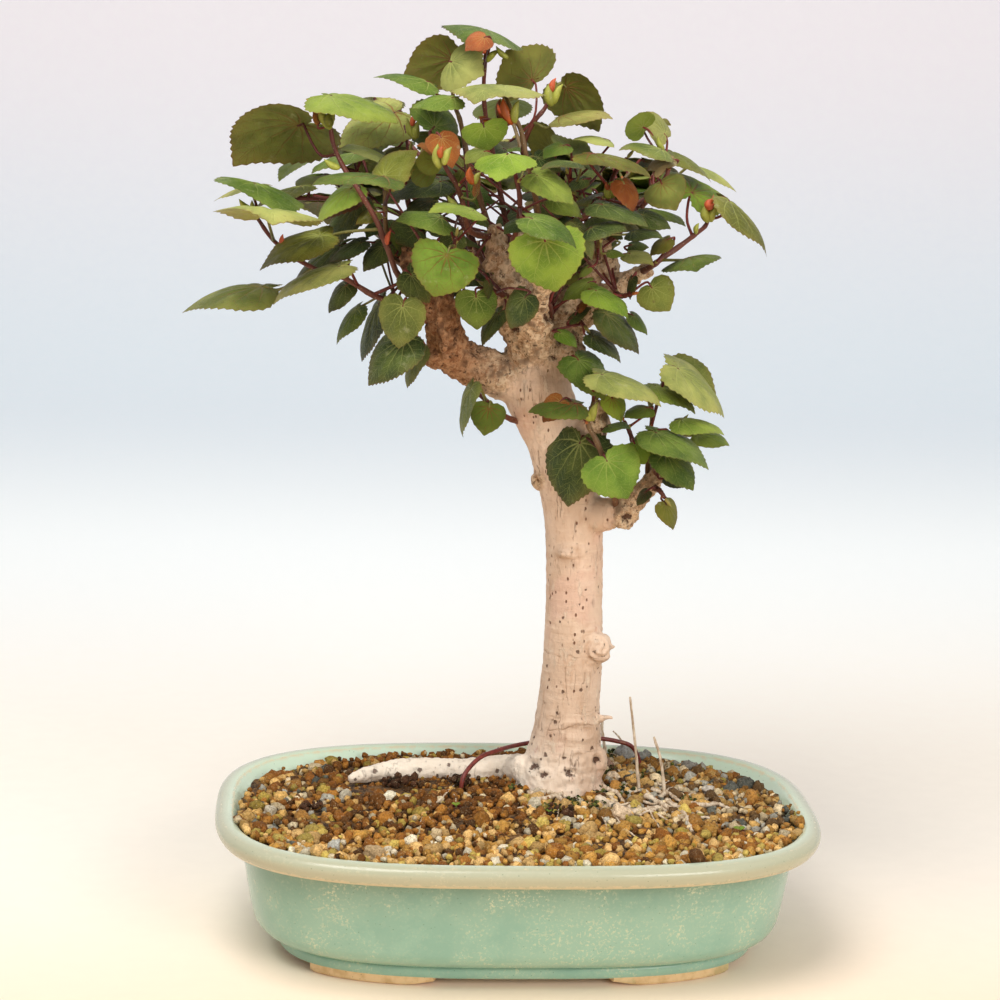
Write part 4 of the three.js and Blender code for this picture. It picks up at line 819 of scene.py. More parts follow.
def shape_bark(points, normals):
    """Moves points of the wood for its bark, and returns them with their colours."""
    u, v, depth = to_sheet(points)
    facing = np.einsum("ij,ij->i", normals, EYE - points) > 0
    burl = swelling(u, v, BURL)
    crown = np.clip((CROWN_WOOD_FROM - v + np.clip(530 - u, 0, 30)) / 60, 0, 1)
    crown = np.maximum(crown, share_between(u, 606, 14) * (v < 560))
    crown = np.maximum(crown, 0.75 * swelling(u, v, KNOT))
    crown = np.maximum(crown, 1.2 * swelling(u, v, DEAD_CONE))
    root = share_between(v, 806, 22)
    pit, lift = np.zeros(len(points)), np.zeros(len(points))
    for place_u, place_v, wide, tall, rim, deep in SCARS:
        away = np.hypot((u - place_u) / wide, (v - place_v) / tall)
        near = facing & (away < 3)
        lift += near * (rim * np.exp(-(((away - 1) / 0.4) ** 2)) - deep * np.exp(-((away / 0.62) ** 2)))
        pit = np.maximum(pit, near * np.exp(-((away / 0.7) ** 2)) * min(1, deep / 1.2))
    reach = np.hypot(u - BURL[0], v - BURL[1])
    swirl = np.sin(2.0 * np.arctan2(v - BURL[1], u - BURL[0]) + 0.9 * reach)
    lift += burl * (0.75 * swirl * np.clip(reach / 5, 0, 1))
    pit = np.maximum(pit, burl * np.clip(-0.2 - swirl, 0, 1) * BURL_FOLD)
    flare = share_between(v, 725, 40) * np.clip((826 - v) / 20, 0, 1)
    for i, point in enumerate(points):
        long_wave = soft_noise(point * (1, 1, 0.35), 0.07, 3.1)
        wrinkle = soft_noise(point * (0.5, 0.5, 2.6), 0.2, 9.7)
        lump = soft_noise(point, 0.22, 21.3)
        rough = soft_noise(point * (1, 1, 0.7), 0.6, 5.5)
        smooth_bark = 0.5 * long_wave + 0.22 * wrinkle
        crust = crown[i] * (1.3 * lump + 1.1 * rough - 0.2) + burl[i] * 0.8 * rough
        lift[i] += smooth_bark + crust + 0.16 * rough + flare[i] * (0.45 * lump + 0.35 * rough)
    return points + normals * lift[:, None], np.column_stack([crown, root, pit])


def seen_pits(surface):
    """The small pits at the points of the wood that show at their places on the sheet, in metres."""
    for u, v, radius in SMALL_PITS:
        spot = surface.ray_cast(Vector(EYE * MM), Vector(unit(at(u, v, 0) - EYE)))[0]
        if spot:
            yield spot, radius * MM


def bark_material(pits):
    """Pale cream bark with fine rows of lenticels, tan and rough in the crown, grey at the soil, with painted
    shade on the left limbs and painted light on the long root.
    """
    m = Shader("hibiscus_bark")
    crown, root, pit = m.channels(m.attribute("bark"))
    place = m.place()
    x, y, z = m.parts(place)
    broad = m.noise(55, 4, 0.6, (1, 1, 0.5))
    streaks = m.noise(330, 5, 0.65, (1, 1, 0.22))
    rings = m.noise(260, 4, 0.6, (0.35, 0.35, 2.2))
    fine = m.noise(1400, 4, 0.7)
    rough = m.noise(300, 6, 0.72)
    colour = m.mix(broad.ramp(0.36, 0.64), rgb(216, 187, 161), rgb(233, 207, 183))
    colour = colour.mix(m.noise(38, 3).ramp(0.5, 0.66, 0, 0.5), rgb(220, 180, 160))
    colour = colour.mix(streaks.ramp(0.5, 0.7, 0, 0.6), rgb(196, 158, 128))
    colour = colour.mix(rings.ramp(0.54, 0.72, 0, 0.3), rgb(244, 226, 202))
    flaking = m.noise(170, 6, 0.75, (1, 1, 0.4)).ramp(0.57, 0.64, 0, 0.4)
    colour = colour.mix(flaking, rgb(240, 224, 200))
    columns = m.noise(210, 2, 0.5, (1, 1, 0.05)).ramp(0.53, 0.58)
    lenticel = m.cells(400, (1, 1, 0.55)).ramp(0.12, 0.22, 1, 0) * columns
    lenticel = lenticel.most(m.cells(190, (1, 1, 0.6)).ramp(0.05, 0.1, 0.8, 0))
    colour = colour.mix(lenticel * 0.9, rgb(112, 70, 46))
    seam = abs(m.noise(120, 4, 0.6, (1, 1, 0.1)) - 0.5)
    crack = seam.ramp(0.0, 0.009, 1, 0) * m.noise(60, 3).ramp(0.47, 0.58)
    colour = colour.mix(crack * 0.6, rgb(164, 122, 92))
    blush = m.noise(210, 5, 0.7, (1, 1, 0.3)).ramp(0.6, 0.68) * broad.ramp(0.5, 0.6)
    colour = colour.mix(blush * 0.6, rgb(178, 110, 92))
    wobbly = z + m.noise(60, 3) * 0.012
    line = 0.0
    for v, strength in RING_LINES:
        near = abs(wobbly - (at(570, v, TRUNK_DEPTH)[2] * MM + 0.006))
        line = m.math("MAXIMUM", line, near.ramp(0.0, 0.0007, strength, 0))
    line = line * m.noise(90, 3).ramp(0.42, 0.56)
    colour = colour.mix(line * 0.7, rgb(150, 110, 78))
    tan = m.mix(rough.ramp(0.4, 0.6), rgb(180, 142, 108), rgb(236, 208, 172))
    tan = m.coats(tan, [
        ((620, 5, 0.7), (0.48, 0.62, 0, 0.85), (240, 216, 182)),
        ((150, 4), (0.52, 0.66, 0, 0.75), (96, 64, 42)),
        ((420, 4, 0.7), (0.56, 0.64, 0, 0.8), (70, 46, 30)),
    ])
    # Painted shade: the crown wood of the left limbs is painted darker.
    left = at(520, 330, 10)[0] * MM
    brown = x.ramp(left - 0.026, left - 0.002, 1, 0)
    tan = tan.mix(brown * 0.85, tan.times(rgb(196, 158, 128)))
    edge = (crown + (broad - 0.5) * 0.9).ramp(0.3, 0.75)
    colour = colour.mix(edge, tan)
    # Painted light: the long root and the trunk's left foot are painted paler, making up for the shade of the
    # crown.
    flare = at(ROOT_LIGHT_FROM, 770, TRUNK_DEPTH)[0] * MM
    low = (SOIL_EDGE + SOIL_MOUND + ROOT_LIGHT_HEIGHT) * MM
    painted_root_light = x.ramp(flare - 0.014, flare + 0.022, 1, 0) * z.ramp(low - 0.004, low + 0.012, 1, 0)
    colour = colour.mix(painted_root_light * 0.75, m.mix(fine, rgb(250, 236, 214), rgb(255, 246, 230)))
    earth = m.mix(m.noise(240, 5).ramp(0.4, 0.6), rgb(206, 186, 160), rgb(112, 96, 78))
    colour = colour.mix((root + (rough - 0.5) * 1.4).ramp(0.35, 0.85) * 0.85, earth)
    ragged = (m.noise(900, 3) - 0.5) * 0.0018
    hole = (pit + (m.noise(420, 5, 0.7) - 0.5) * 3.0).ramp(0.5, 0.8)
    for spot, radius in pits:
        away = m.give("ShaderNodeVectorMath", {0: place, 1: spot}, 1, operation="DISTANCE")
        hole = hole.most((away + ragged).ramp(radius * 0.5, radius, 1, 0) * 0.9)
    colour = colour.mix(hole * 0.9, rgb(84, 50, 34))
    relief = streaks * 0.7 + rings * 0.3 + fine * 0.3 + flaking * 0.6 + rough * edge * 1.8
    for mark, depth in ((lenticel, 0.6), (crack, 0.6), (line, 0.6), (hole, 1.2)):
        relief = relief - mark * depth
    normal = m.bump(relief, 0.0012, 0.8)
    return m.finish(Base_Color=colour, Roughness=0.8, Normal=normal, Specular_IOR_Level=0.3)


def make_wood():
    """The bark over the tree's wood. Returns its surface."""
    piece = Piece("bark_wood")
    piece.add(*limb_tube(list(trunk_stations()), TRUNK_SIDES))
    piece.add(*limb_tube(list(surface_root_stations()), ROOT_SIDES))
    for limbs, sides in ((LIMBS.values(), LIMB_SIDES), (BURIED_ROOTS, BURIED_SIDES)):
        for rows in limbs:
            piece.add(*limb_tube(limb_stations(rows), sides))
    points, faces = BALLS[FINE]
    for u, v, depth, radius, tall in KNOBS:
        piece.add(at(u, v, depth) + points * radius * np.array([1, 1, tall]), faces)
    wood = piece.build([])
    remesh = wood.modifiers.new("union", "REMESH")
    remesh.mode = "VOXEL"
    remesh.voxel_size = BARK_VOXEL * MM
    wood.modifiers.new("relax", "SMOOTH").iterations = RELAX_TURNS
    apply_modifiers(wood)
    mesh = wood.data
    mesh.polygons.foreach_set("use_smooth", [True] * len(mesh.polygons))
    points, normals = (np.empty(len(mesh.vertices) * 3) for _ in range(2))
    mesh.vertices.foreach_get("co", points)
    mesh.vertices.foreach_get("normal", normals)
    points, colours = shape_bark(points.reshape(-1, 3) / MM, normals.reshape(-1, 3))
    mesh.vertices.foreach_set("co", (points * MM).ravel())
    paint_points(mesh, "bark", colours)
    mesh.update()
    surface = BVHTree.FromObject(wood, bpy.context.evaluated_depsgraph_get())
    mesh.materials.append(bark_material(list(seen_pits(surface))))
    finish_piece(wood, "bark", "tree_wood")
    return surface


# Foliage, in millimetres
STEM_BASE_RADIUS = 1.35
STEM_TIP_RADIUS = 0.8
BLADE_THICKNESS = 0.36
BLADE_ARCH = 0.3
BLADE_SIDE_DROOP = 0.35
OUTLINE_WIDTH = 1.13
POINTS_AT_EYE = 0.6
STALK_BACK = 3.0
STALK_DROP = 1.6
# A leaf longer than this has more teeth, and a finer mesh
LARGE_LEAF, MIDDLING_LEAF = 24, 15
# The rounded volumes that the foliage fills: middle on the sheet, half width, half height, depth, half depth
ZONES = {
    "crown": (485, 200, 285, 195, 18, 90),
    "tier": (635, 440, 95, 80, 4, 38),
    "trunk": (490, 420, 60, 60, 12, 20),
}
CROWN = ZONES["crown"]
DEPTH_TRIES = [0, 3, -3, 6, -6, 9, -9, 12, -12, 16, -16, 20, -20, 25, -25, 31, -31, 38]
# Each shoot: its volume, its foot with depth, its stem as places on the sheet and how far forward, and
# its leaves. A leaf: base and tip on the sheet, how far forward the base lies, how much deeper the tip,
# the width as seen, and the tone. It may end with what is special: the side edge's step from the midrib,
# places its stalk runs via, its underside being seen, or how much nearer the eye than in the source it is.
SMALL = {"small": True}
UNDER = {"under": True}
SHOOTS = {
    "left_low": (
        "crown", (440, 308, 8),
        [(405, 303, 0.1), (377, 297, 0.15), (344, 278, 0.15), (313, 268, 0.15), (275, 242, 0.1),
         (256, 216, 0.1)],
        [(255, 184, 287, 217, 0.1, -22, 62, "mid", dict(side=(34, 9), via=[(257, 208, 0.1)])),
         (268, 212, 273, 221, 0.2, -34, 100, "pale", dict(side=(51, 5))),
         (339, 267, 272, 303, 0.35, -4, 18, "pale"),
         (262, 287, 181, 310, 0.15, 0, 19, "greyed", dict(via=[(281, 289, 0.15)])),
         (340, 246, 292, 281, 0, 5, 14, "dark"), (346, 286, 328, 313, 0.1, 0, 18, "dark"),
         (357, 309, 335, 344, 0.1, 0, 14, "mid"), (379, 304, 361, 362, -0.1, 3, 18, "dark")],
    ),
    "left_high": (
        "crown", (427, 285, 5),
        [(402, 280, 0.25), (387, 247, 0.3), (377, 222, 0.3), (361, 194, 0.3), (344, 168, 0.25),
         (333, 143, 0.2), (330, 122, 0.2)],
        [(299, 125, 233, 166, 0.1, 20, 68, "greyed", dict(side=(-32, -22), via=[(320, 155, 0.15)])),
         (331, 96, 398, 125, 0.2, -10, 26, "light", dict(via=[(334, 118, 0.2)])),
         (351, 189, 316, 224, 0.35, -4, 22, "light"), (357, 199, 320, 221, 0.1, 6, 10, "copper"),
         (320, 236, 259, 270, 0.25, -3, 26, "olive", dict(via=[(345, 232, 0.3)])),
         (319, 120, 312, 100, 0.2, 0, 7, "copper", SMALL)],
    ),
    "left_inner": (
        "crown", (417, 272, 4),
        [(392, 256, -0.05), (386, 230, 0.05), (385, 200, 0.1), (385, 176, 0.1)],
        [(384, 157, 340, 148, 0.1, -8, 12, "pale"), (384, 176, 418, 150, 0.1, 4, 30, "olive"),
         (383, 177, 312, 184, 0.2, -10, 10, "mid"), (358, 202, 326, 247, 0, 3, 26, "dark"),
         (375, 213, 356, 225, 0.3, -3, 14, "olive"), (361, 243, 330, 263, 0.05, 0, 14, "dark"),
         (383, 247, 362, 271, 0.15, 0, 22, "dark")],
    ),
    "left_mid": (
        "crown", (408, 255, 3),
        [(412, 225, -0.1), (405, 180, -0.1), (410, 150, 0)],
        # The first leaf's pale tone is partly painted light: it makes up for the shade that the leaf in front
        # casts on it.
        [(394, 113, 338, 147, 0.1, -3, 46, "pale", dict(via=[(405, 130, 0.05)])),
         (405, 158, 387, 149, 0, -8, 24, "dark"), (440, 182, 389, 200, 0.15, 0, 20, "dark"),
         (432, 168, 410, 171, 0.25, -12, 14, "mid"), (395, 235, 400, 252, 0.2, 0, 10, "mid", SMALL)],
    ),
    "left_under": (
        "crown", (440, 326, 9),
        [(420, 318, 0.2), (404, 303, 0.3)],
        [(403, 306, 398, 349, 0.5, 2, 44, "greyed"), (405, 340, 367, 385, 0.35, 2, 38, "dark"),
         (419, 350, 406, 388, 0.35, 2, 14, "greyed", dict(via=[(412, 330, 0.35)])),
         (411, 275, 431, 303, 0.4, 4, 32, "dark")],
    ),
    "front_left": (
        "crown", (444, 300, 8),
        [(449, 280, 0.35), (452, 255, 0.45), (456, 236, 0.5)],
        [(447, 255, 433, 298, 0.62, 4, 64, "fresh"), (457, 236, 440, 253, 0.5, 0, 26, "dark"),
         (473, 211, 428, 212, 0.55, -8, 14, "light"), (440, 218, 396, 220, 0.5, -6, 22, "mid")],
    ),
    "centre": (
        "crown", (494, 238, 9),
        [(469, 230, 0.3), (463, 204, 0.4), (456, 184, 0.45), (446, 168, 0.45), (440, 150, 0.45)],
        [(441, 138, 453, 168, 0.52, -3, 30, "copper"), (484, 152, 465, 163, 0.5, -6, 18, "greyed"),
         (437, 160, 415, 160, 0.35, -8, 10, "light"), (434, 127, 447, 108, 0.3, 20, 38, "mid"),
         (436, 152, 417, 145, 0.45, -4, 9, "copper", SMALL),
         (477, 192, 476, 170, 0.5, 0, 7, "copper", SMALL)],
    ),
    "top_left": (
        "crown", (500, 258, 10),
        [(482, 205, 0), (468, 160, 0.05), (460, 120, 0.05), (454, 103, 0.05), (452, 76, 0.05)],
        [(452, 60, 404, 74, 0, 5, 52, "olive", UNDER),
         (427, 82, 373, 76, 0.15, -3, 10, "mid", dict(via=[(436, 94, 0.1)])),
         (452, 98, 412, 109, 0.2, -4, 16, "light"), (452, 62, 484, 75, 0.2, -15, 24, "pale")],
    ),
    "top": (
        "crown", (515, 296, 13),
        [(507, 230, -0.2), (494, 160, -0.15), (484, 100, -0.1), (486, 46, 0)],
        [(486, 30, 469, 42, 0.1, -28, 74, "mid", dict(side=(38, 10))),
         (484, 38, 465, 51, 0.55, -4, 21, "salmon", SMALL)],
    ),
    "top_right": (
        "crown", (521, 240, 4),
        [(537, 218, 0.15), (535, 195, 0.25), (525, 150, 0.35), (520, 128, 0.35), (513, 115, 0.35),
         (506, 97, 0.35)],
        [(503, 86, 474, 100, 0.35, -28, 88, "pale"),
         (532, 80, 506, 50, 0.1, 6, 64, "olive", dict(via=[(535, 115, 0.2)], under=True)),
         (484, 127, 489, 151, 0.5, 3, 44, "bright", dict(via=[(502, 122, 0.45)])),
         (498, 116, 500, 98, 0.4, 0, 7, "copper", SMALL),
         (491, 124, 478, 116, 0.4, 0, 8, "copper", SMALL)],
    ),
    "top_far": (
        "crown", (568, 308, 22),
        [(562, 240, -0.05), (542, 180, 0), (523, 150, 0.05), (534, 122, 0.1), (545, 108, 0.1),
         (552, 92, 0.1)],
        [(566, 87, 599, 132, 0.1, 3, 46, "olive", UNDER),
         (562, 117, 613, 117, 0.15, -6, 12, "pale", dict(via=[(548, 128, 0.15)])),
         (553, 150, 523, 124, 0.2, 5, 32, "olive", UNDER)],
    ),
    "front": (
        "crown", (542, 274, -24),
        [(547, 258, 0.5), (545, 240, 0.55)],
        [(545, 241, 556, 292, 0.72, 2, 72, "bright"), (524, 222, 504, 234, 0.45, -6, 18, "dark"),
         (576, 226, 593, 260, 0.45, 0, 18, "greyed")],
    ),
    "front_low": (
        "crown", (514, 296, 12),
        [(500, 294, 0.25), (486, 286, 0.3)],
        [(476, 297, 477, 330, 0.42, 3, 40, "mid"), (499, 314, 481, 346, 0.2, 0, 16, "dark"),
         (525, 298, 509, 329, 0.35, 3, 30, "dark", dict(via=[(512, 288, 0.4)])),
         (489, 283, 489, 300, 0.4, 0, 9, "dark", SMALL)],
    ),
    "front_low_right": (
        "crown", (548, 326, 21),
        [(550, 306, 0.25), (540, 294, 0.35)],
        [(588, 283, 562, 300, 0.3, 0, 18, "light")],
    ),
    "mid_right": (
        "crown", (508, 262, 9),
        [(517, 226, 0.35), (520, 200, 0.5), (515, 172, 0.55)],
        [(507, 155, 497, 180, 0.66, -18, 58, "bright"), (537, 176, 573, 205, 0.62, -4, 28, "light"),
         (532, 219, 578, 246, 0.55, -3, 22, "mid"), (555, 200, 583, 218, 0.5, 0, 20, "light"),
         (538, 158, 562, 172, 0.35, 0, 20, "dark")],
    ),
    "right_a": (
        "crown", (578, 286, 22),
        [(566, 252, 0.2), (573, 224, 0.35), (590, 212, 0.35), (606, 194, 0.35), (616, 171, 0.3),
         (627, 158, 0.3)],
        [(624, 184, 634, 212, 0.5, -2, 22, "copper"), (602, 205, 648, 227, 0.5, -6, 20, "dark"),
         (593, 154, 652, 176, 0.35, -8, 12, "olive")],
    ),
    "right_b": (
        "crown", (606, 244, 23),
        [(637, 214, 0.1), (644, 204, 0.15), (662, 183, 0.15), (668, 170, 0.15), (663, 152, 0.15)],
        [(664, 134, 639, 112, 0.1, 0, 20, "pale"), (643, 127, 627, 121, 0.2, -10, 18, "bright"),
         (649, 124, 671, 124, 0.1, -5, 10, "olive"), (661, 150, 619, 148, 0.3, -6, 14, "greyed"),
         (670, 160, 646, 171, 0.35, 0, 12, "dry", SMALL), (655, 172, 668, 164, 0.38, 0, 9, "dry", SMALL),
         (671, 152, 712, 182, 0.15, -5, 10, "olive"), (662, 184, 676, 210, 0.4, -6, 42, "greyed"),
         (643, 215, 671, 229, 0.3, 0, 18, "dark")],
    ),
    "right_low": (
        "crown", (640, 273, 16),
        [(652, 266, 0.15), (660, 260, 0.15), (684, 243, 0.1), (697, 233, 0.1), (706, 225, 0.1),
         (711, 206, 0.1)],
        [(692, 193, 701, 181, 0, 26, 62, "bright", dict(side=(30, 14), via=[(687, 220, 0.05)])),
         (729, 201, 770, 255, 0.1, -2, 12, "olive", dict(via=[(722, 215, 0.1)])),
         (689, 258, 697, 273, 0.3, -22, 54, "mid"), (667, 240, 649, 256, 0.35, 0, 14, "olive"),
         (630, 254, 654, 265, 0.35, -5, 16, "pale")],
    ),
    "right_inner": (
        "crown", (598, 260, 23),
        [(600, 240, 0.3), (606, 232, 0.4)],
        [(592, 228, 627, 230, 0.42, -8, 20, "dark"), (634, 232, 664, 238, 0.35, -5, 14, "dark"),
         (610, 252, 626, 256, 0.4, 0, 8, "light", SMALL), (588, 268, 579, 278, 0.4, 0, 8, "light", SMALL)],
    ),
    "right_under": (
        "crown", (614, 291, 19),
        [(622, 296, 0.25), (632, 294, 0.35)],
        [(652, 288, 670, 311, 0.4, 0, 38, "greyed"), (596, 291, 629, 316, 0.55, -5, 22, "bright"),
         (606, 314, 638, 355, 0.3, 2, 26, "dark"), (633, 316, 648, 335, 0.2, 0, 12, "mid"),
         (632, 279, 630, 300, 0.3, 0, 9, "dark", SMALL)],
    ),
    "right_under_in": (
        "crown", (570, 322, 22),
        [(580, 322, 0.25), (584, 326, 0.3)],
        [(593, 337, 622, 362, 0.35, 0, 16, "dark"), (560, 333, 578, 347, 0.4, 0, 14, "bright"),
         (572, 318, 592, 308, 0.3, 0, 10, "dark", SMALL),
         (579, 308, 592, 298, 0.3, 0, 8, "copper", SMALL)],
    ),
    "upper_right": (
        "crown", (573, 297, 22),
        [(579, 245, -0.1), (574, 200, 0.05), (568, 174, 0.2)],
        [(572, 158, 585, 141, 0.2, 20, 44, "mid", UNDER), (604, 139, 572, 140, 0.25, -5, 9, "pale"),
         (603, 158, 577, 166, 0.4, -6, 16, "dark"), (563, 146, 543, 158, 0.35, -5, 16, "mid"),
         (573, 163, 540, 170, 0.35, -6, 10, "dark"), (583, 180, 566, 192, 0.3, 0, 12, "dark", SMALL)],
    ),
    "tier_left": (
        "tier", (618, 514, 10),
        [(607, 468, 0.35), (596, 440, 0.4), (588, 424, 0.4), (592, 407, 0.35), (598, 384, 0.3)],
        [(580, 443, 567, 507, 0.45, -2, 62, "dark"), (607, 461, 628, 499, 0.7, -2, 58, "fresh"),
         (578, 360, 605, 400, 0.3, -5, 36, "mid"), (602, 375, 662, 406, 0.5, -6, 24, "pale"),
         (560, 402, 542, 422, 0.5, 0, 24, "copper", dict(ahead=12)),
         (575, 404, 528, 413, 0.55, -3, 22, "mid"), (612, 398, 622, 422, 0.35, 0, 22, "bright"),
         (563, 404, 578, 414, 0.5, 0, 9, "bright", SMALL)],
    ),
    "tier_mid": (
        "tier", (631, 507, 9),
        [(634, 470, 0), (633, 444, 0.1), (630, 433, 0.1), (624, 421, 0.1)],
        [(635, 444, 645, 464, 0.4, -5, 40, "bright"), (646, 408, 624, 418, 0.3, -4, 16, "mid"),
         (608, 427, 631, 428, 0.25, -4, 10, "mid"), (636, 440, 647, 430, 0.3, 0, 8, "light", SMALL)],
    ),
    "tier_right": (
        "tier", (648, 489, 6),
        [(648, 462, -0.15), (645, 442, -0.05), (651, 427, 0), (652, 406, 0)],
        [(655, 386, 696, 413, 0.2, -8, 16, "light"), (675, 373, 717, 394, 0, 0, 44, "greyed"),
         (678, 369, 727, 417, -0.2, 4, 26, "pale")],
    ),
    "tier_low": (
        "tier", (656, 479, 4),
        [(657, 463, 0.15), (661, 448, 0.25), (681, 423, 0.2)],
        [(656, 433, 710, 468, 0.6, -6, 26, "mid", dict(via=[(668, 430, 0.4)])),
         (682, 420, 725, 433, 0.15, -5, 16, "light"), (698, 435, 730, 445, 0.1, 0, 18, "light"),
         (666, 454, 693, 491, 0.4, -3, 32, "mid"), (667, 479, 684, 488, 0.3, 0, 10, "dark", SMALL)],
    ),
    "tier_under": (
        "tier", (652, 487, 5),
        [(660, 491, 0.3), (665, 498, 0.35)],
        [(666, 505, 674, 530, 0.35, 0, 20, "olive"), (646, 492, 637, 506, 0.4, 0, 11, "dark", SMALL)],
    ),
    "trunk": (
        "trunk", (524, 424, 20),
        [(503, 415, 0.2), (490, 404, 0.2), (475, 391, 0.1)],
        [(489, 408, 484, 436, 0.4, -2, 34, "mid"), (471, 389, 462, 438, 0, 0, 13, "greyed")],
    ),
}
BUD_SWELL = 1.25
# Buds and young folded leaves: foot and tip on the sheet, how far forward, radius in mm and tone
BUDS = {
    "left_high": [
        (331, 129, 319, 103, 0.22, 1.7, "bud"), (331, 127, 336, 106, 0.22, 1.3, "bud"),
        (325, 112, 307, 99, 0.25, 1.6, "salmon"), (331, 127, 330, 112, 0.26, 1.7, "olive"),
        (340, 168, 324, 159, 0.26, 1.3, "bud"), (387, 245, 391, 230, 0.34, 1.0, "salmon"),
    ],
    "left_low": [
        (256, 214, 239, 199, 0.12, 1.5, "bud"), (257, 216, 252, 200, 0.14, 1.2, "bud"),
        (283, 247, 283, 234, 0.16, 1.0, "salmon"), (344, 277, 334, 268, 0.2, 1.0, "bud"),
    ],
    "left_mid": [
        (416, 139, 407, 118, 0.1, 1.5, "bud"), (417, 138, 419, 120, 0.12, 1.4, "bud"),
        (412, 126, 418, 113, 0.14, 1.1, "salmon"),
    ],
    "centre": [
        (440, 168, 438, 144, 0.58, 1.7, "bud"), (444, 165, 452, 147, 0.6, 1.5, "bud"),
        (441, 158, 443, 146, 0.62, 1.2, "copper"), (474, 184, 470, 167, 0.55, 1.6, "copper"),
        (475, 184, 481, 172, 0.55, 1.1, "bud"), (457, 205, 448, 196, 0.42, 1.1, "bud"),
    ],
    "top": [(487, 62, 500, 50, 0.14, 1.2, "bud"), (486, 52, 476, 42, 0.3, 1.3, "salmon")],
    "top_right": [
        (513, 124, 503, 98, 0.42, 2.0, "copper"), (515, 123, 519, 100, 0.44, 1.5, "bud"),
        (512, 118, 497, 104, 0.42, 1.6, "salmon"), (493, 125, 480, 117, 0.42, 1.6, "copper"),
        (508, 58, 496, 46, 0.2, 1.1, "bud"),
    ],
    "top_far": [
        (552, 106, 551, 82, 0.18, 1.9, "bud"), (554, 104, 563, 84, 0.18, 1.5, "bud"),
        (552, 92, 556, 78, 0.2, 1.2, "salmon"),
    ],
    "right_a": [
        (609, 199, 613, 181, 0.42, 1.7, "bud"), (612, 198, 621, 184, 0.42, 1.5, "bud"),
        (611, 190, 606, 182, 0.44, 1.0, "copper"),
    ],
    "right_b": [(664, 150, 658, 136, 0.2, 1.1, "bud"), (668, 168, 676, 158, 0.2, 1.0, "bud")],
    "right_low": [
        (709, 222, 706, 205, 0.14, 1.8, "bud"), (711, 222, 718, 206, 0.14, 1.4, "bud"),
        (712, 209, 712, 199, 0.16, 1.9, "salmon"), (696, 234, 699, 223, 0.14, 1.0, "bud"),
    ],
    "tier_left": [(592, 420, 583, 405, 0.5, 1.7, "bud"), (593, 421, 598, 402, 0.5, 1.4, "bud")],
}
# Shoots on the far side, set out by a rule from these feet
BACK_FEET = [
    (476, 250, 76), (484, 272, 68), (497, 288, 58), (474, 262, 74), (555, 312, 46), (590, 250, 78),
    (580, 268, 70), (567, 288, 60),
]
BACK_LEAVES = 3
BACK_LEAF_LENGTH = 25
BACK_STALK_REACH = 11
BACK_STALK_RISE = 5
BACK_TONES = ["mid", "bright", "light", "olive", "pale", "mid", "dark"]
# Leaf colours: the blade, and how spotted and how red-rimmed it is
TONES = {
    "bright": (rgb(138, 170, 46), 0.25, 0.15),
    "light": (rgb(142, 164, 58), 0.3, 0.2),
    "fresh": (rgb(116, 154, 44), 0.3, 0.25),
    "mid": (rgb(92, 122, 34), 0.3, 0.2),
    "dark": (rgb(52, 78, 24), 0.3, 0.3),
    "olive": (rgb(116, 118, 30), 0.6, 0.35),
    "pale": (rgb(188, 190, 104), 0.5, 0.3),
    "greyed": (rgb(118, 130, 54), 0.5, 0.35),
    "silver": (rgb(166, 176, 112), 0.3, 0.25),
    "copper": (rgb(176, 84, 22), 0.4, 0.9),
    "salmon": (rgb(204, 94, 54), 0.3, 0.9),
    "bud": (rgb(166, 170, 70), 0.2, 0.6),
    "dry": (rgb(176, 140, 104), 0.9, 0.5),
}
# Half outline of a leaf: degrees from the tip, and reach as a share of its length
OUTLINE = [
    (180, 0.07), (170, 0.22), (158, 0.36), (144, 0.44), (124, 0.495), (104, 0.54), (84, 0.59), (64, 0.65),
    (46, 0.7), (30, 0.77), (16, 0.83), (8, 0.9), (0, 1.0),
]
FRONT_LOBES = 0.5
SIDE_LOBES = 0.9
VEIN_ANGLES = (0, 27, 55, 88, 125)
LAST_VEIN_FIELD = 170
LEAF_LAYERS = ["tint", "look", "edge"]
BLADE_TOP, STEM_SKIN, BLADE_UNDERSIDE = 0, 1, 2
LEAF_SEED = 5150
leaf_draw = random_source(LEAF_SEED)


def depth_in(zone, u, v, forward):
    """A depth from how far forward a place lies in its volume: 1 is the front of it, -1 the back."""
    middle_u, middle_v, wide, tall, depth, half = zone
    across, upward = ((u - middle_u) / wide) ** 2, ((v - middle_v) / tall) ** 2
    return depth - forward * half * math.sqrt(max(0.05, 1 - across - upward))


def surface_of(name):
    """Nearest-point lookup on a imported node, in metres."""
    return BVHTree.FromObject(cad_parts[name], bpy.context.evaluated_depsgraph_get())


def nearest_try(surface, sample):
    """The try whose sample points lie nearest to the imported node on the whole."""

    def misfit(shift):
        return sum(surface.find_nearest(Vector(point * MM))[3] for point in sample(shift)) / MM

    return min(DEPTH_TRIES, key=misfit)


def facing_from_side(base, tip, side):
    """The way a blade faces that shows its side edge at a step on the sheet from its midrib."""
    along = tip - base
    ahead = np.array([*rotated(along[0], along[1], -POT_TURN), along[2]])
    scale = sheet_scale(ahead[1])
    half = np.array([side[0] * scale, 0.0, -side[1] * scale])
    half[1] = -(half[0] * ahead[0] + half[2] * ahead[2]) / ahead[1]
    facing = unit(np.cross(to_pot_frame(*half) - POT_MIDDLE, along))
    return (-facing if facing[2] < 0 else facing), 2 * np.linalg.norm(half)


def turned(vector, axis, angle):
    c, s = math.cos(angle), math.sin(angle)
    return vector * c + np.cross(axis, vector) * s + axis * axis.dot(vector) * (1 - c)


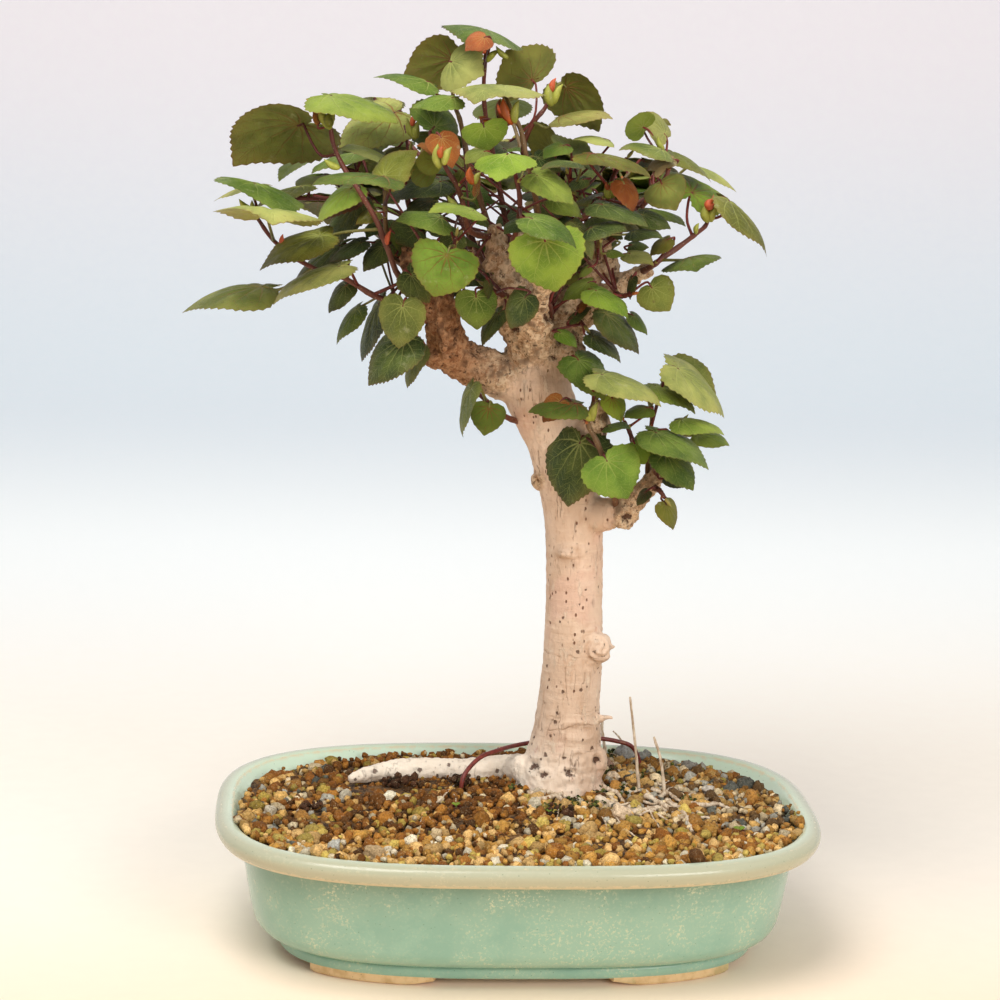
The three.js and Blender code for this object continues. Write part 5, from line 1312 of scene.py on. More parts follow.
def facing_of(base, tip, shown_width, under, side):
    """The way a blade faces, and its full width, from the width that it shows to the standpoint."""
    if side:
        return facing_from_side(base, tip, side)
    length = np.linalg.norm(tip - base)
    along = (tip - base) / length
    full_width = max(length * 1.05, shown_width)
    look = unit(EYE - base)
    if abs(look.dot(along)) > POINTS_AT_EYE:
        look = above(1.0)
    front = unit(look - along * look.dot(along))
    if under:
        front = -front
    turn = math.acos(min(1, shown_width / full_width))
    options = [turned(front, along, angle) for angle in (turn, -turn)]
    return max(options, key=lambda facing: facing[2]), full_width


def stalk_start(path, point):
    """The place on a stem from which a leaf stalk to a point starts: a little below the nearest."""
    places = [0.3 + 0.02 * i for i in range(36)]
    gaps = [np.linalg.norm(path.at(t) - point) for t in places]
    nearest = min(gaps)
    return path.at(max(0.22, places[gaps.index(nearest)] - nearest * 0.45 / path.length()))


def front_leaf(row, zone, path, stem_shift, shift):
    """The shape of a leaf from its row, and what is special about it."""
    u, v, tip_u, tip_v, forward, lean, width, tone, special = row if len(row) > 8 else (*row, {})
    depth = depth_in(zone, u, v, forward)
    here = depth + stem_shift + shift
    via = special.get("via", [])
    via = [at(a, b, depth_in(zone, a, b, f) + stem_shift + shift / 2) for a, b, f in via]
    base, tip = at(u, v, here), at(tip_u, tip_v, here + lean)
    side = special.get("side")
    facing, width = facing_of(base, tip, sheet_scale(depth) * width, special.get("under"), side)
    lobes = SIDE_LOBES if side else FRONT_LOBES
    shape = dict(base=base, tip=tip, facing=facing, width=width, via=via, tone=tone, path=path, lobes=lobes)
    return shape, special


def outline_points(teeth, tooth_height, lobes):
    """The rim of a unit leaf from its notch round one side to its tip, with teeth towards the tip."""
    angles, reach = np.array(OUTLINE, float).T
    fine = np.linspace(math.pi, 0, 241)
    radius = np.interp(-fine, -np.radians(angles), reach)
    radius *= 1 - (1 - lobes) * np.clip((np.degrees(fine) - 95) / 50, 0, 1)
    smooth = np.convolve(np.pad(radius, 6, mode="edge"), np.ones(13) / 13, mode="valid")
    smooth[-6:] = radius[-6:]
    smooth[:4] = radius[:4]
    line = np.column_stack([np.cos(fine) * smooth, np.sin(fine) * smooth])
    run = np.concatenate([[0], np.cumsum(np.linalg.norm(np.diff(line, axis=0), axis=1))])
    run /= run[-1]

    def on_rim(place):
        return np.interp(place, run, line[:, 0]), np.interp(place, run, line[:, 1])

    rim = []
    for i in range(teeth):
        for share, high in ((0.0, 0.0), (0.62, 1.0)):
            place = (i + share + (leaf_draw() - 0.5) * 0.16 * (i > 0)) / teeth
            (a, b), after, before = on_rim(place), on_rim(place + 0.01), on_rim(place - 0.01)
            ahead, aside = after[0] - before[0], after[1] - before[1]
            size = tooth_height * high * (0.75 + 0.5 * leaf_draw()) * min(1, 8 * place, 10 * (1 - place))
            size /= math.hypot(ahead, aside) + 1e-9
            rim.append((a - aside * size, b + ahead * size))
    return np.array([*rim, (1.0, 0.0)])


def blade_mesh(length, width, lobes):
    """A leaf blade lying flat: points as (along, across, up), faces, drawn coordinates and ring shares."""
    draw = leaf_draw
    teeth, rings, tooth = (9, 4, 0.02) if length <= MIDDLING_LEAF else (14, 5, 0.028)
    if length > LARGE_LEAF:
        teeth, rings = 20, 6
    right, left = (outline_points(teeth, tooth, lobes) for _ in range(2))
    left[:, 1] *= -1
    rim = np.vstack([right, left[-2:0:-1]])
    count = len(rim)
    side_scale = width / (OUTLINE_WIDTH * length)
    shares = [((k + 1) / rings) ** 0.85 for k in range(rings)]
    drawn = np.vstack([[(0.0, 0.0)]] + [rim * share for share in shares])
    ring_share = np.concatenate([[0.0]] + [np.full(count, share) for share in shares])
    a, b = drawn[:, 0] * length, drawn[:, 1] * length * side_scale
    phase, waves = draw() * 6.28, 3 + int(draw() * 3)
    cup, curl, twist = (draw() - 0.5) * 0.16, draw() * 0.22, (draw() - 0.5) * 0.14
    up = BLADE_ARCH * a * (length - a) / length - BLADE_SIDE_DROOP * b**2 / width
    angle = np.arctan2(drawn[:, 1], drawn[:, 0])
    off = np.min(np.abs(np.abs(angle)[:, None] - np.radians(VEIN_ANGLES)[None, :]), axis=1)
    quilt = 1 - np.cos(np.clip(off / 0.24, 0, 1) * math.pi)
    up += 0.008 * length * quilt * np.sin(np.clip(ring_share, 0, 1) * math.pi)
    up += 0.022 * length * ring_share**3 * np.sin(waves * angle + phase)
    curled = curl * length * np.clip(drawn[:, 0] - 0.62, 0, 1) ** 2 * 2.4
    up += cup * np.hypot(a, b) * np.abs(np.sin(angle)) - curled
    up += twist * a * b / length
    half_skin = BLADE_THICKNESS / 2 * np.clip(1.25 - ring_share, 0.35, 1)
    upper = np.column_stack([a, b, up + half_skin])
    inside = len(drawn) - count
    lower = np.column_stack([a, b, up - half_skin])[:inside]
    faces = [(0, 1 + k, 1 + (k + 1) % count) for k in range(count)]
    for r in range(rings - 1):
        for k in range(count):
            p, q = 1 + r * count + k, 1 + r * count + (k + 1) % count
            faces.append((p, p + count, q + count, q))
    # The underside shares the points of the rim
    under = [k if k >= inside else len(drawn) + k for k in range(len(drawn))]
    faces += [tuple(under[k] for k in face[::-1]) for face in faces]
    drawn, ring_share = (np.concatenate([column, column[:inside]]) for column in (drawn, ring_share))
    return np.vstack([upper, lower]), faces, drawn, ring_share


def add_leaf(piece, base, tip, facing, width, via, tone, path=None, start=None, lobes=FRONT_LOBES):
    """One leaf on its stalk, with the bud or stipule where the stalk leaves the stem."""
    draw = leaf_draw
    length = np.linalg.norm(tip - base)
    along = (tip - base) / length
    up = unit(facing - along * facing.dot(along))
    across = np.cross(along, up)
    flat, faces, drawn, share = blade_mesh(length, width, lobes * (0.85 + 0.3 * draw()))
    world = base + np.outer(flat[:, 0], along) + np.outer(flat[:, 1], across) + np.outer(flat[:, 2], up)
    colour, spots, red = TONES[tone]
    tint = colour * (0.86 + 0.28 * draw()) * (1 + 0.1 * (np.array([draw(), draw(), draw()]) - 0.5))
    look = np.column_stack([share, np.full(len(share), draw()), np.full(len(share), spots * (0.5 + draw()))])
    edge = (red * (0.5 + draw()), draw(), min(1.0, length / 30))
    half = len(faces) // 2
    piece.add(world, faces[:half], BLADE_TOP, drawn, tint=tint, look=look, edge=edge)
    piece.add(world, faces[half:], BLADE_UNDERSIDE, drawn, tint=tint, look=look, edge=edge)
    notch = base + along * 0.07 * length * -1 + up * (BLADE_ARCH * -0.07 * length)
    below = base - along * STALK_BACK - up * STALK_DROP
    if start is None:
        start = stalk_start(path, via[0] if via else base)
    stalk = Path([start, *via, below, notch, base + along * 0.02 * length])
    radii = np.interp(np.linspace(0, 1, 15), [0, 0.08, 0.5, 1], [0.85, 0.66, 0.58, 0.5])
    if length < 20:
        radii = radii * 0.8
    stem_tone = rgb(112, 40, 32) * (0.6 + 0.8 * draw()) if draw() < 0.8 else rgb(122, 118, 56)
    piece.add(*tube(stalk.sample(14), radii, 7), STEM_SKIN, tint=stem_tone)
    if path is not None and draw() < 0.6:
        add_bud(piece, start, unit(stalk.at(0.2) - start + above(0.6)), 2.0 + draw() * 1.6)


def add_bud(piece, place, heading, length):
    """A pointed bud or stipule."""
    centres = [place + heading * length * t for t in (0, 0.25, 0.55, 0.85, 1.0)]
    tone = rgb(170, 160, 82) if leaf_draw() < 0.6 else rgb(190, 110, 56)
    piece.add(*tube(centres, [0.35, 0.85, 0.75, 0.3, 0.06], 6), STEM_SKIN, tint=tone)


def add_sheath(piece, base, tip, radius, tone):
    """A plump pointed sheath or folded young leaf."""
    heading = tip - base
    bow = unit(np.cross(heading, np.array([0.3, 1.0, 0.2]))) * radius * 0.5
    places = np.linspace(0, 1, 9)
    centres = [base + heading * t + bow * math.sin(t * math.pi) for t in places]
    swell = np.interp(places, [0, 0.15, 0.45, 0.75, 1], [0.35, 0.8, 1.0, 0.6, 0.06])
    tint = TONES[tone][0] * (0.85 + 0.3 * leaf_draw())
    piece.add(*tube(centres, swell * radius, 10), STEM_SKIN, tint=tint)


def add_stem(piece, path, steps=26, sides=10):
    """A green or red-brown stem with nodes, ending in a spear-shaped bud."""
    draw = leaf_draw
    places = np.linspace(0, 1, steps + 1)
    radii = STEM_BASE_RADIUS + (STEM_TIP_RADIUS - STEM_BASE_RADIUS) * places
    radii = radii * (1 + 0.16 * (np.sin(places * steps * 1.3 + draw() * 6) > 0.6))
    old = np.append(np.repeat(places, sides), [0, 1])[:, None]
    woody, young = rgb(104, 66, 46), rgb(96, 34, 30) if draw() < 0.8 else rgb(110, 92, 50)
    tint = woody * (1 - old) ** 0.6 + young * old**0.6
    piece.add(*tube(path.sample(steps), radii, sides), STEM_SKIN, tint=tint)
    end = path.at(1.0)
    add_bud(piece, end, unit(end - path.at(0.85)), 5.0)


def blade_material(name, is_lower):
    """Heart-shaped leaf blade: veins that spread from the notch, a net between them, spots and red rims."""
    m = Shader(name)
    drawn = m.give("ShaderNodeUVMap", {}, uv_map="Drawn")
    a, b = m.parts(drawn)[:2]
    b = abs(b)
    reach = m.math("SQRT", a * a + b * b)
    wander = (m.noise(3, 2, coordinates=drawn) - 0.5) * 0.25
    angle = (m.math("ARCTAN2", b, a) + wander) * (reach * 0.42 + 0.86)
    share, chance, spots = m.channels(m.attribute("look"))
    red, second = m.channels(m.attribute("edge"))[:2]
    tint = m.attribute("tint")
    vein, chevron = None, None
    taper = share.ramp(0.0, 1.0, 0.02, 0.004)
    for degrees in VEIN_ANGLES:
        off = abs(angle - math.radians(degrees))
        line = m.math("SUBTRACT", 1.0, off * reach / taper, use_clamp=True)
        vein = vein.most(line) if vein else line
    bend = m.noise(5, 2, coordinates=drawn) * 0.05
    for low, high in zip(VEIN_ANGLES, (*VEIN_ANGLES[1:], LAST_VEIN_FIELD)):
        middle, half = math.radians((low + high) / 2), math.radians((high - low) / 2)
        aside = abs(angle - middle)
        climb = m.math("SUBTRACT", half, aside) * reach * 0.85
        wave = m.math("FRACT", (reach - climb + bend) * 10.5)
        line = abs(wave - 0.5).ramp(0.0, 0.075, 1, 0) * m.math("LESS_THAN", aside, half)
        chevron = chevron.most(line) if chevron else line
    net, fine_net = (
        m.cells(scale, coordinates=drawn, feature="DISTANCE_TO_EDGE").ramp(0.0, width, 1, 0)
        for scale, width in ((30, 0.09), (70, 0.12))
    )
    broad, mottle = m.noise(70, 3), m.noise(520, 5, 0.65)
    lit = tint.mix(0.1, rgb(214, 220, 110))
    colour = tint.times((0.55, 0.62, 0.5)).mix(broad.ramp(0.34, 0.66), lit)
    colour = colour.mix(mottle.ramp(0.5, 0.75, 0, 0.35), lit)
    blush = (share + broad * 0.5).ramp(0.95, 1.4) * red
    colour = colour.mix(blush.clamped(0.55), rgb(150, 84, 44))
    spotted = m.cells(240).ramp(0.1, 0.24, 1, 0) * (m.noise(120, 3).ramp(0.5, 0.6) * spots)
    colour = colour.mix(spotted.clamped(0.8), rgb(96, 62, 40))
    patch = m.noise(110, 6, 0.7).ramp(0.6, 0.7) * spots
    colour = colour.mix(patch.clamped(0.75), rgb(196, 196, 150))
    reddish = second.ramp(*((0.15, 0.4) if is_lower else (0.75, 0.95)))
    vein_tint = tint.mix(0.5, rgb(216, 222, 130)).mix(reddish, rgb(146, 66, 44))
    strength = chance.ramp(0.0, 1.0, 0.5, 0.95)
    for line in (vein * strength, chevron * (strength * 0.6), net * 0.2):
        colour = colour.mix(line, vein_tint)
    colour = colour.mix(share.ramp(0.965, 1.0).clamped(red + 0.1), rgb(128, 72, 40))
    if is_lower:
        colour = colour.mix(0.22, rgb(150, 150, 84))
    height = mottle * 0.3 - vein * 1.2 - chevron * 0.7 - (net + fine_net) * 0.28
    rough = mottle.ramp(0.3, 0.7, 0.4, 0.58)
    normal = m.bump(height, 0.0005, 0.7)
    return m.finish(Base_Color=colour, Roughness=rough, Normal=normal, Specular_IOR_Level=0.35)


def stalk_material():
    """Green to red stems and leaf stalks, with fine ridges and pale dots."""
    m = Shader("leaf_stalk")
    tint = m.attribute("tint")
    grain = m.noise(500, 4, 0.6, (1, 1, 0.3))
    colour = tint.times((0.7, 0.7, 0.7)).mix(grain.ramp(0.35, 0.65), tint)
    colour = colour.mix(m.cells(700).ramp(0.08, 0.2, 0.5, 0), rgb(206, 190, 150))
    return m.finish(Base_Color=colour, Roughness=0.55, Normal=m.bump(grain, 0.0003, 0.5))


def start_shoot(name, path_at):
    """A piece with a stem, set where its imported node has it. Returns that node's surface too."""
    surface = surface_of("shoot_" + name)
    shift = nearest_try(surface, lambda shift: path_at(shift).sample(12)[5:])
    piece = Piece("foliage_" + name, LEAF_LAYERS)
    add_stem(piece, path_at(shift))
    return piece, path_at(shift), shift, surface


def nearest_leaf(surface, leaf_at):
    """The shift at which the tip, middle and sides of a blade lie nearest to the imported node."""

    def sample(shift):
        made = leaf_at(shift)
        along = made["tip"] - made["base"]
        across = np.cross(unit(along), unit(made["facing"])) * made["width"] * 0.4
        third = made["base"] + along * 0.35
        return [made["tip"], made["base"] + along * 0.5, third + across, third - across]

    return nearest_try(surface, sample)


def grow_front_shoot(name, shoot, materials):
    zone_name, foot, stem, leaves = shoot
    zone = ZONES[zone_name]

    def path_at(shift):
        points = [at(*foot)]
        for i, (u, v, forward) in enumerate(stem):
            points.append(at(u, v, depth_in(zone, u, v, forward) + shift * min(1, (i + 1) / 2)))
        return Path(points)

    piece, path, stem_shift, surface = start_shoot(name, path_at)
    for row in leaves:

        def leaf_at(shift):
            return front_leaf(row, zone, path, stem_shift, shift)[0]

        special = front_leaf(row, zone, path, stem_shift, 0)[1]
        shift = 0 if special.get("small") else nearest_leaf(surface, leaf_at)
        add_leaf(piece, **leaf_at(shift - special.get("ahead", 0)))
    for u, v, tip_u, tip_v, forward, radius, tone in BUDS.get(name, []):
        depth = depth_in(zone, u, v, forward) + stem_shift
        add_sheath(piece, at(u, v, depth), at(tip_u, tip_v, depth - 1), radius * BUD_SWELL, tone)
    finish_piece(piece.build(materials), "foliage", "shoot_" + name)
    return path


def back_leaf(path, row, lift):
    along, angle, slope, length = row
    flat = np.array([math.cos(angle), math.sin(angle), 0.0])
    base = path.at(along) + flat * BACK_STALK_REACH
    base[2] += BACK_STALK_RISE + lift
    tip = base + unit(flat + above(slope)) * length
    facing = unit(np.array([flat[0] * 0.45, flat[1] * 0.45, 1.0]))
    return dict(base=base, tip=tip, facing=facing, width=length, via=[], path=path)


def back_shoots():
    """Stems that fan out on the far side of the crown, with the rows of their leaves."""
    draw = random_source(404)
    centre = at(CROWN[0], 215, CROWN[4])
    count = len(BACK_FEET)
    for i, foot in enumerate(BACK_FEET):
        heading = math.radians(170 - 160 * (i + 0.5) / count)
        lift = 0.25 + 0.75 * ((i * 2) % 5) / 4
        height = lift * (8 + 42 * math.sin(heading) ** 2)
        tip = centre + np.array([math.cos(heading) * 88, math.sin(heading) * 80, height])
        root = at(*foot)
        middle = root + (tip - root) * 0.55 + above(8)
        leaves = []
        for k in range(BACK_LEAVES):
            last = k == BACK_LEAVES - 1
            angle = heading + (0.9 if k % 2 else -0.9) * (0.1 if last else 1) + draw() - 0.5
            slope = -0.25 - draw() * 0.5
            length = BACK_LEAF_LENGTH * (0.75 + draw() * 0.4)
            leaves.append((0.5 + 0.5 * k / (BACK_LEAVES - 1), angle, slope, length))
        yield f"back_{i + 1}", (root, middle, tip), leaves


def grow_back_shoot(name, points, leaves, materials):
    root, middle, tip = points

    def path_at(shift):
        aside = np.array([shift, 0.0, 0.0])
        return Path([root, middle + aside, tip + aside])

    piece, path, stem_shift, surface = start_shoot(name, path_at)
    for row in leaves:
        lift = nearest_leaf(surface, lambda lift: back_leaf(path, row, lift))
        tone = BACK_TONES[int(leaf_draw() * len(BACK_TONES))]
        add_leaf(piece, **back_leaf(path, row, lift), tone=tone)
    finish_piece(piece.build(materials), "foliage", "shoot_" + name)
    return path


# Inner leaves: small dark ones among the limbs, and more of the far side
INNER_LEAVES = 120
INNER_TWIGS = 60
INNER_MIDDLE = (508, 222)
INNER_REACH = (132, 74)
INNER_FRONT = 2
INNER_DEEP = 80
INNER_SEED = 2211
INNER_TONES = ["dark", "dark", "dark", "mid", "mid", "olive"]
TWIG_LONGEST = 70
OUTER_LEAVES = 60


def grow_inner_leaves(paths, materials):
    """Small leaves on long stalks from the nearest stem, inside the crown's volume, and thin twigs."""
    draw = random_source(INNER_SEED)

    def inner_place():
        reach, turn = math.sqrt(draw()), draw() * 2 * math.pi
        u = INNER_MIDDLE[0] + INNER_REACH[0] * reach * math.cos(turn)
        return u, INNER_MIDDLE[1] + INNER_REACH[1] * reach * math.sin(turn)

    piece = Piece("foliage_inner", LEAF_LAYERS)
    samples = [(path, path.at(t)) for path in paths for t in (0.35, 0.5, 0.65, 0.8)]
    spots = np.array([point for path, point in samples])
    for i in range(INNER_LEAVES):
        u, v = inner_place()
        base = at(u, v, INNER_FRONT + INNER_DEEP * draw())
        gaps = np.linalg.norm(spots - base, axis=1) + 30 * (spots[:, 2] > base[2])
        path = samples[int(np.argmin(gaps))][0]
        heading = 2 * math.pi * draw()
        direction = unit(np.array([math.cos(heading), math.sin(heading), -0.5 + 0.5 * draw()]))
        length = 7 + 8 * draw()
        facing = unit(np.array([(draw() - 0.5) * 1.2, -0.7 + (draw() - 0.5), 1.0]))
        width = length * (0.95 + 0.25 * draw())
        tone = INNER_TONES[int(draw() * len(INNER_TONES))]
        add_leaf(piece, base, base + direction * length, facing, width, [], tone, path)
    for i in range(INNER_TWIGS):
        path = paths[int(draw() * len(paths))]
        start = path.at(0.08 + 0.3 * draw())
        u, v = inner_place()
        end = at(u, v - 20, depth_of(start) - 12 + 30 * draw())
        if end[2] < start[2] + 8 or np.linalg.norm(end - start) > TWIG_LONGEST:
            continue
        middle = (start + end) / 2 + above(-3 + 6 * draw())
        radius = 0.55 + 0.35 * draw()
        twig = tube(Path([start, middle, end]).sample(14), np.linspace(radius, radius * 0.6, 15), 7)
        piece.add(*twig, STEM_SKIN, tint=rgb(104, 40, 32) * (0.7 + 0.6 * draw()))
    finish_piece(piece.build(materials), "foliage")


def grow_outer_leaves(paths, materials):
    """Leaves that fill out the far side of the crown, on stalks from its shoots."""
    draw = random_source(INNER_SEED + 1)
    piece = Piece("foliage_far_side", LEAF_LAYERS)
    for i in range(OUTER_LEAVES):
        path = paths[i % len(paths)]
        start = path.at(0.45 + 0.5 * draw())
        heading = math.radians(15 + 150 * draw())
        flat = np.array([math.cos(heading), math.sin(heading), 0.0])
        base = start + flat * (8 + 10 * draw()) + above(-6 + 16 * draw())
        direction = unit(flat + np.array([draw() - 0.5, draw() - 0.5, -0.2 - 0.5 * draw()]))
        length = 12 + 9 * draw()
        facing = unit(np.array([flat[0] * 0.5, flat[1] * 0.5, 1.0]))
        tone = BACK_TONES[int(draw() * len(BACK_TONES))]
        add_leaf(piece, base, base + direction * length, facing, length * 1.05, [], tone, path)
    finish_piece(piece.build(materials), "foliage")


# Soil
MOUND = at(560, 790, TRUNK_DEPTH)
MOUND_ASIDE = 12
MOUND_REACH = (88, 62)
GRAIN_PITCH = 4.0
GRAIN_DARKEST = 0.68
GRAIN_RANGE = 0.8
SOIL_REACH = 123.6
BACK_GAP = 5.4
WALL_HEAP = 5.0
# The ground beside the long root, as left, right, top and bottom on the sheet, lies lower with finer grains
ROOT_SIDE = (340, 530, 764, 798)
ROOT_HOLLOW = 1.4
ROOT_SIDE_GRAIN = 0.78
# Grains scattered on the bed: how many, least radius and range, ball, least rise and range
SCATTERS = [(1500, 0.9, 0.9, COARSE, 1.2, 1.2), (240, 2.5, 1.2, MIDDLING, 0.8, 0.9)]
# Granules of the front, of the left and middle, and of the right: colour and how common
FRONT_GRAINS = [
    (rgb(196, 146, 70), 0.3), (rgb(226, 184, 118), 0.3), (rgb(168, 112, 48), 0.18),
    (rgb(204, 178, 92), 0.14), (rgb(230, 218, 190), 0.08),
]
BROWN_GRAINS = [
    (rgb(134, 84, 34), 0.42), (rgb(172, 116, 48), 0.2), (rgb(90, 58, 28), 0.14),
    (rgb(214, 172, 104), 0.1), (rgb(178, 152, 70), 0.08), (rgb(222, 204, 168), 0.06),
]
MIXED_GRAINS = [
    (rgb(168, 120, 58), 0.24), (rgb(206, 164, 96), 0.22), (rgb(226, 204, 164), 0.16),
    (rgb(112, 84, 52), 0.14), (rgb(176, 172, 158), 0.12), (rgb(104, 106, 98), 0.06),
    (rgb(164, 146, 72), 0.06),
]


def soil_height(x, y):
    """Height of the soil at a place in the part's frame."""
    reach = ((x - MOUND[0] + MOUND_ASIDE) / MOUND_REACH[0]) ** 2 + ((y - MOUND[1]) / MOUND_REACH[1]) ** 2
    return SOIL_EDGE + SOIL_MOUND * np.exp(-reach)


def plan_reach(x, y, half_length):
    """How far out a place lies in an oval of the pot's plan: 1 on its edge."""
    return abs(x / half_length) ** PLAN_EXPONENT + abs(y / (half_length - SHORTER_BY)) ** PLAN_EXPONENT


def add_grain(piece, centre, radius, level, draw, mixture):
    points, faces = BALLS[level]
    seed = np.array([draw(), draw(), draw()]) * 100
    stretch = 0.74 + 0.52 * np.array([draw(), draw(), draw()])
    spin = Matrix.Rotation(draw() * 6.28, 3, Vector((draw() - 0.5, draw() - 0.5, draw() - 0.5)))
    lumps = [1 + 0.5 * noise.noise(Vector(point * 1.5 + seed)) for point in points]
    shaped = (points * stretch * np.array(lumps)[:, None]) @ np.array(spin).T
    pick, total = draw(), 0.0
    for colour, share in mixture:
        total += share
        if pick <= total:
            break
    piece.add(centre + shaped * radius, faces, grain=colour * (GRAIN_DARKEST + GRAIN_RANGE * draw()))


def clear_of_wood(wood, place, radius):
    """Whether a grain stands clear of the wood, and not inside it."""
    spot = Vector(place * MM)
    near, normal = wood.find_nearest(spot)[:2]
    return near is None or (spot - near).dot(normal) > radius * 0.25 * MM


def grain_material():
    """Fired clay granules: each of its own colour, dusty, pitted and matt."""
    m = Shader("soil_grain")
    grain = m.attribute("grain")
    fine = m.noise(900, 5, 0.7)
    colour = m.coats(grain.times((0.62, 0.6, 0.56)).mix(fine.ramp(0.38, 0.62), grain), [
        ((1500, 4, 0.7), (0.56, 0.7, 0, 0.5), (226, 206, 166)),
        ((1300, 3, 0.6), (0.32, 0.42, 0.7, 0), (70, 44, 22)),
    ])
    moss = m.noise(48, 4, 0.6).ramp(0.6, 0.7, 0, 0.42) * m.noise(800, 3).ramp(0.45, 0.6)
    colour = colour.mix(moss, rgb(104, 110, 58))
    normal = m.bump(fine + m.noise(2600, 3, 0.7) * 0.5, 0.0006, 0.9)
    return m.finish(Base_Color=colour, Roughness=0.92, Normal=normal, Specular_IOR_Level=0.2)


def soil_bed_material():
    """The bed between the loose grains: the same clay, darker."""
    m = Shader("soil_bed")
    cells = m.node("ShaderNodeTexVoronoi", {"Vector": m.place(), "Scale": 260.0}, feature="F1")
    distance, cell_colour = (Value(m, cells.outputs[name]) for name in ("Distance", "Color"))
    colour = m.mix(m.channels(cell_colour)[0].ramp(0.2, 0.8), rgb(58, 38, 20), rgb(104, 72, 38))
    colour = m.coats(colour, [((800, 5, 0.7), (0.5, 0.7, 0, 0.5), (176, 144, 96))])
    normal = m.bump(distance.ramp(0.0, 0.7, 1, 0), 0.0022, 1.0)
    return m.finish(Base_Color=colour, Roughness=0.95, Normal=normal)


def dress_node(name, material):
    """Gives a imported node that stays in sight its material."""
    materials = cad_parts[name].data.materials
    materials.clear()
    materials.append(material)


def make_soil_grains(wood_surface):
    draw = random_source(8642)
    halves = {-1: Piece("soil_grains_left", ["grain"]), 1: Piece("soil_grains_right", ["grain"])}
    half_depth = SOIL_REACH - SHORTER_BY
    columns = int(SOIL_REACH * 2 / GRAIN_PITCH)
    rows = int(half_depth * 2 / GRAIN_PITCH)

    def mixture_at(x, y):
        u, v = sheet_place(x, y, SOIL_EDGE)[:2]
        if u > 600 and v < 838 and draw() < 0.85:
            return MIXED_GRAINS
        if v > 838 - 24 * (u > 520) and draw() < 0.8:
            return FRONT_GRAINS
        if u < 330 and draw() < 0.45:
            return MIXED_GRAINS
        return BROWN_GRAINS

    def drop(x, y, radius, level, lift):
        front = min(1, max(0, 0.5 - y / 50))
        plan = plan_reach(x, y, SOIL_REACH - radius - BACK_GAP * (1 - front))
        if plan > 1:
            return
        x, y = x + POT_MIDDLE[0], y + POT_MIDDLE[1]
        z = soil_height(x, y) + lift + WALL_HEAP * front * plan**4
        u, v = sheet_place(x, y, SOIL_EDGE + SOIL_MOUND / 2)[:2]
        if ROOT_SIDE[0] < u < ROOT_SIDE[1] and ROOT_SIDE[2] < v < ROOT_SIDE[3]:
            z -= ROOT_HOLLOW
            radius *= ROOT_SIDE_GRAIN
        centre = np.array([x, y, z])
        if clear_of_wood(wood_surface, centre, radius):
            add_grain(halves[-1 if x < 4 else 1], centre, radius, level, draw, mixture_at(x, y))

    for j in range(rows + 1):
        for i in range(columns + 1):
            x = (i - columns / 2 + 0.5 * (j % 2) + (draw() - 0.5) * 0.8) * GRAIN_PITCH
            y = (j - rows / 2 + (draw() - 0.5) * 0.8) * GRAIN_PITCH
            drop(x, y, 1.6 + 1.1 * draw(), COARSE, -0.4 + 1.6 * draw())
    for count, radius, radius_range, level, rise, rise_range in SCATTERS:
        for i in range(count):
            x, y = (draw() * 2 - 1) * SOIL_REACH, (draw() * 2 - 1) * half_depth
            drop(x, y, radius + radius_range * draw(), level, rise + rise_range * draw())
    material = grain_material()
    for half in halves.values():
        finish_piece(half.build([material]), "soil_granules")
    dress_node("soil", soil_bed_material())


# Roots over the soil, dead twigs, anchor wire: places on the sheet, depth where it is given, radius in mm
RIGHT_ROOT_RISE = 0.6
# Steps, sides, roughness and seed of the skin of the thin root and of the dead twigs
ROOT_SKIN = (48, 12, 0.35, 91.3)
TWIG_SKIN = (36, 10, 0.3, 12.7)
RIGHT_ROOT = [
    (598, 800, 2.6), (614, 807, 2), (633, 812, 1.6), (658, 809, 1.5), (671, 811, 1.4), (684, 820, 1.2),
    (693, 828, 0.8),
]
DEAD_TWIGS = {
    "dead_twig_tall": [
        (640, 802, 20, 0.9), (638, 778, 20, 0.8), (636, 753, 20, 0.7), (630, 697, 20, 0.5),
    ],
    "dead_twig_short": [
        (664, 810, 13, 0.9), (664, 787, 13, 0.8), (660, 757, 13, 0.7), (654, 737, 13, 0.5),
    ],
}
WIRE_RADIUS = 1.0
WIRE_STEPS = 130
WIRE_SIDES = 14
WIRE = [
    (460, 801, 10), (463, 778, 11), (470, 767, 15), (481, 757, 20), (496, 751, 26), (513, 746, 36),
    (535, 742, 46), (562, 740, 56), (592, 738, 58), (616, 741, 61), (631, 746, 62.5), (638, 757, 63.5),
    (640, 786, 64),
]
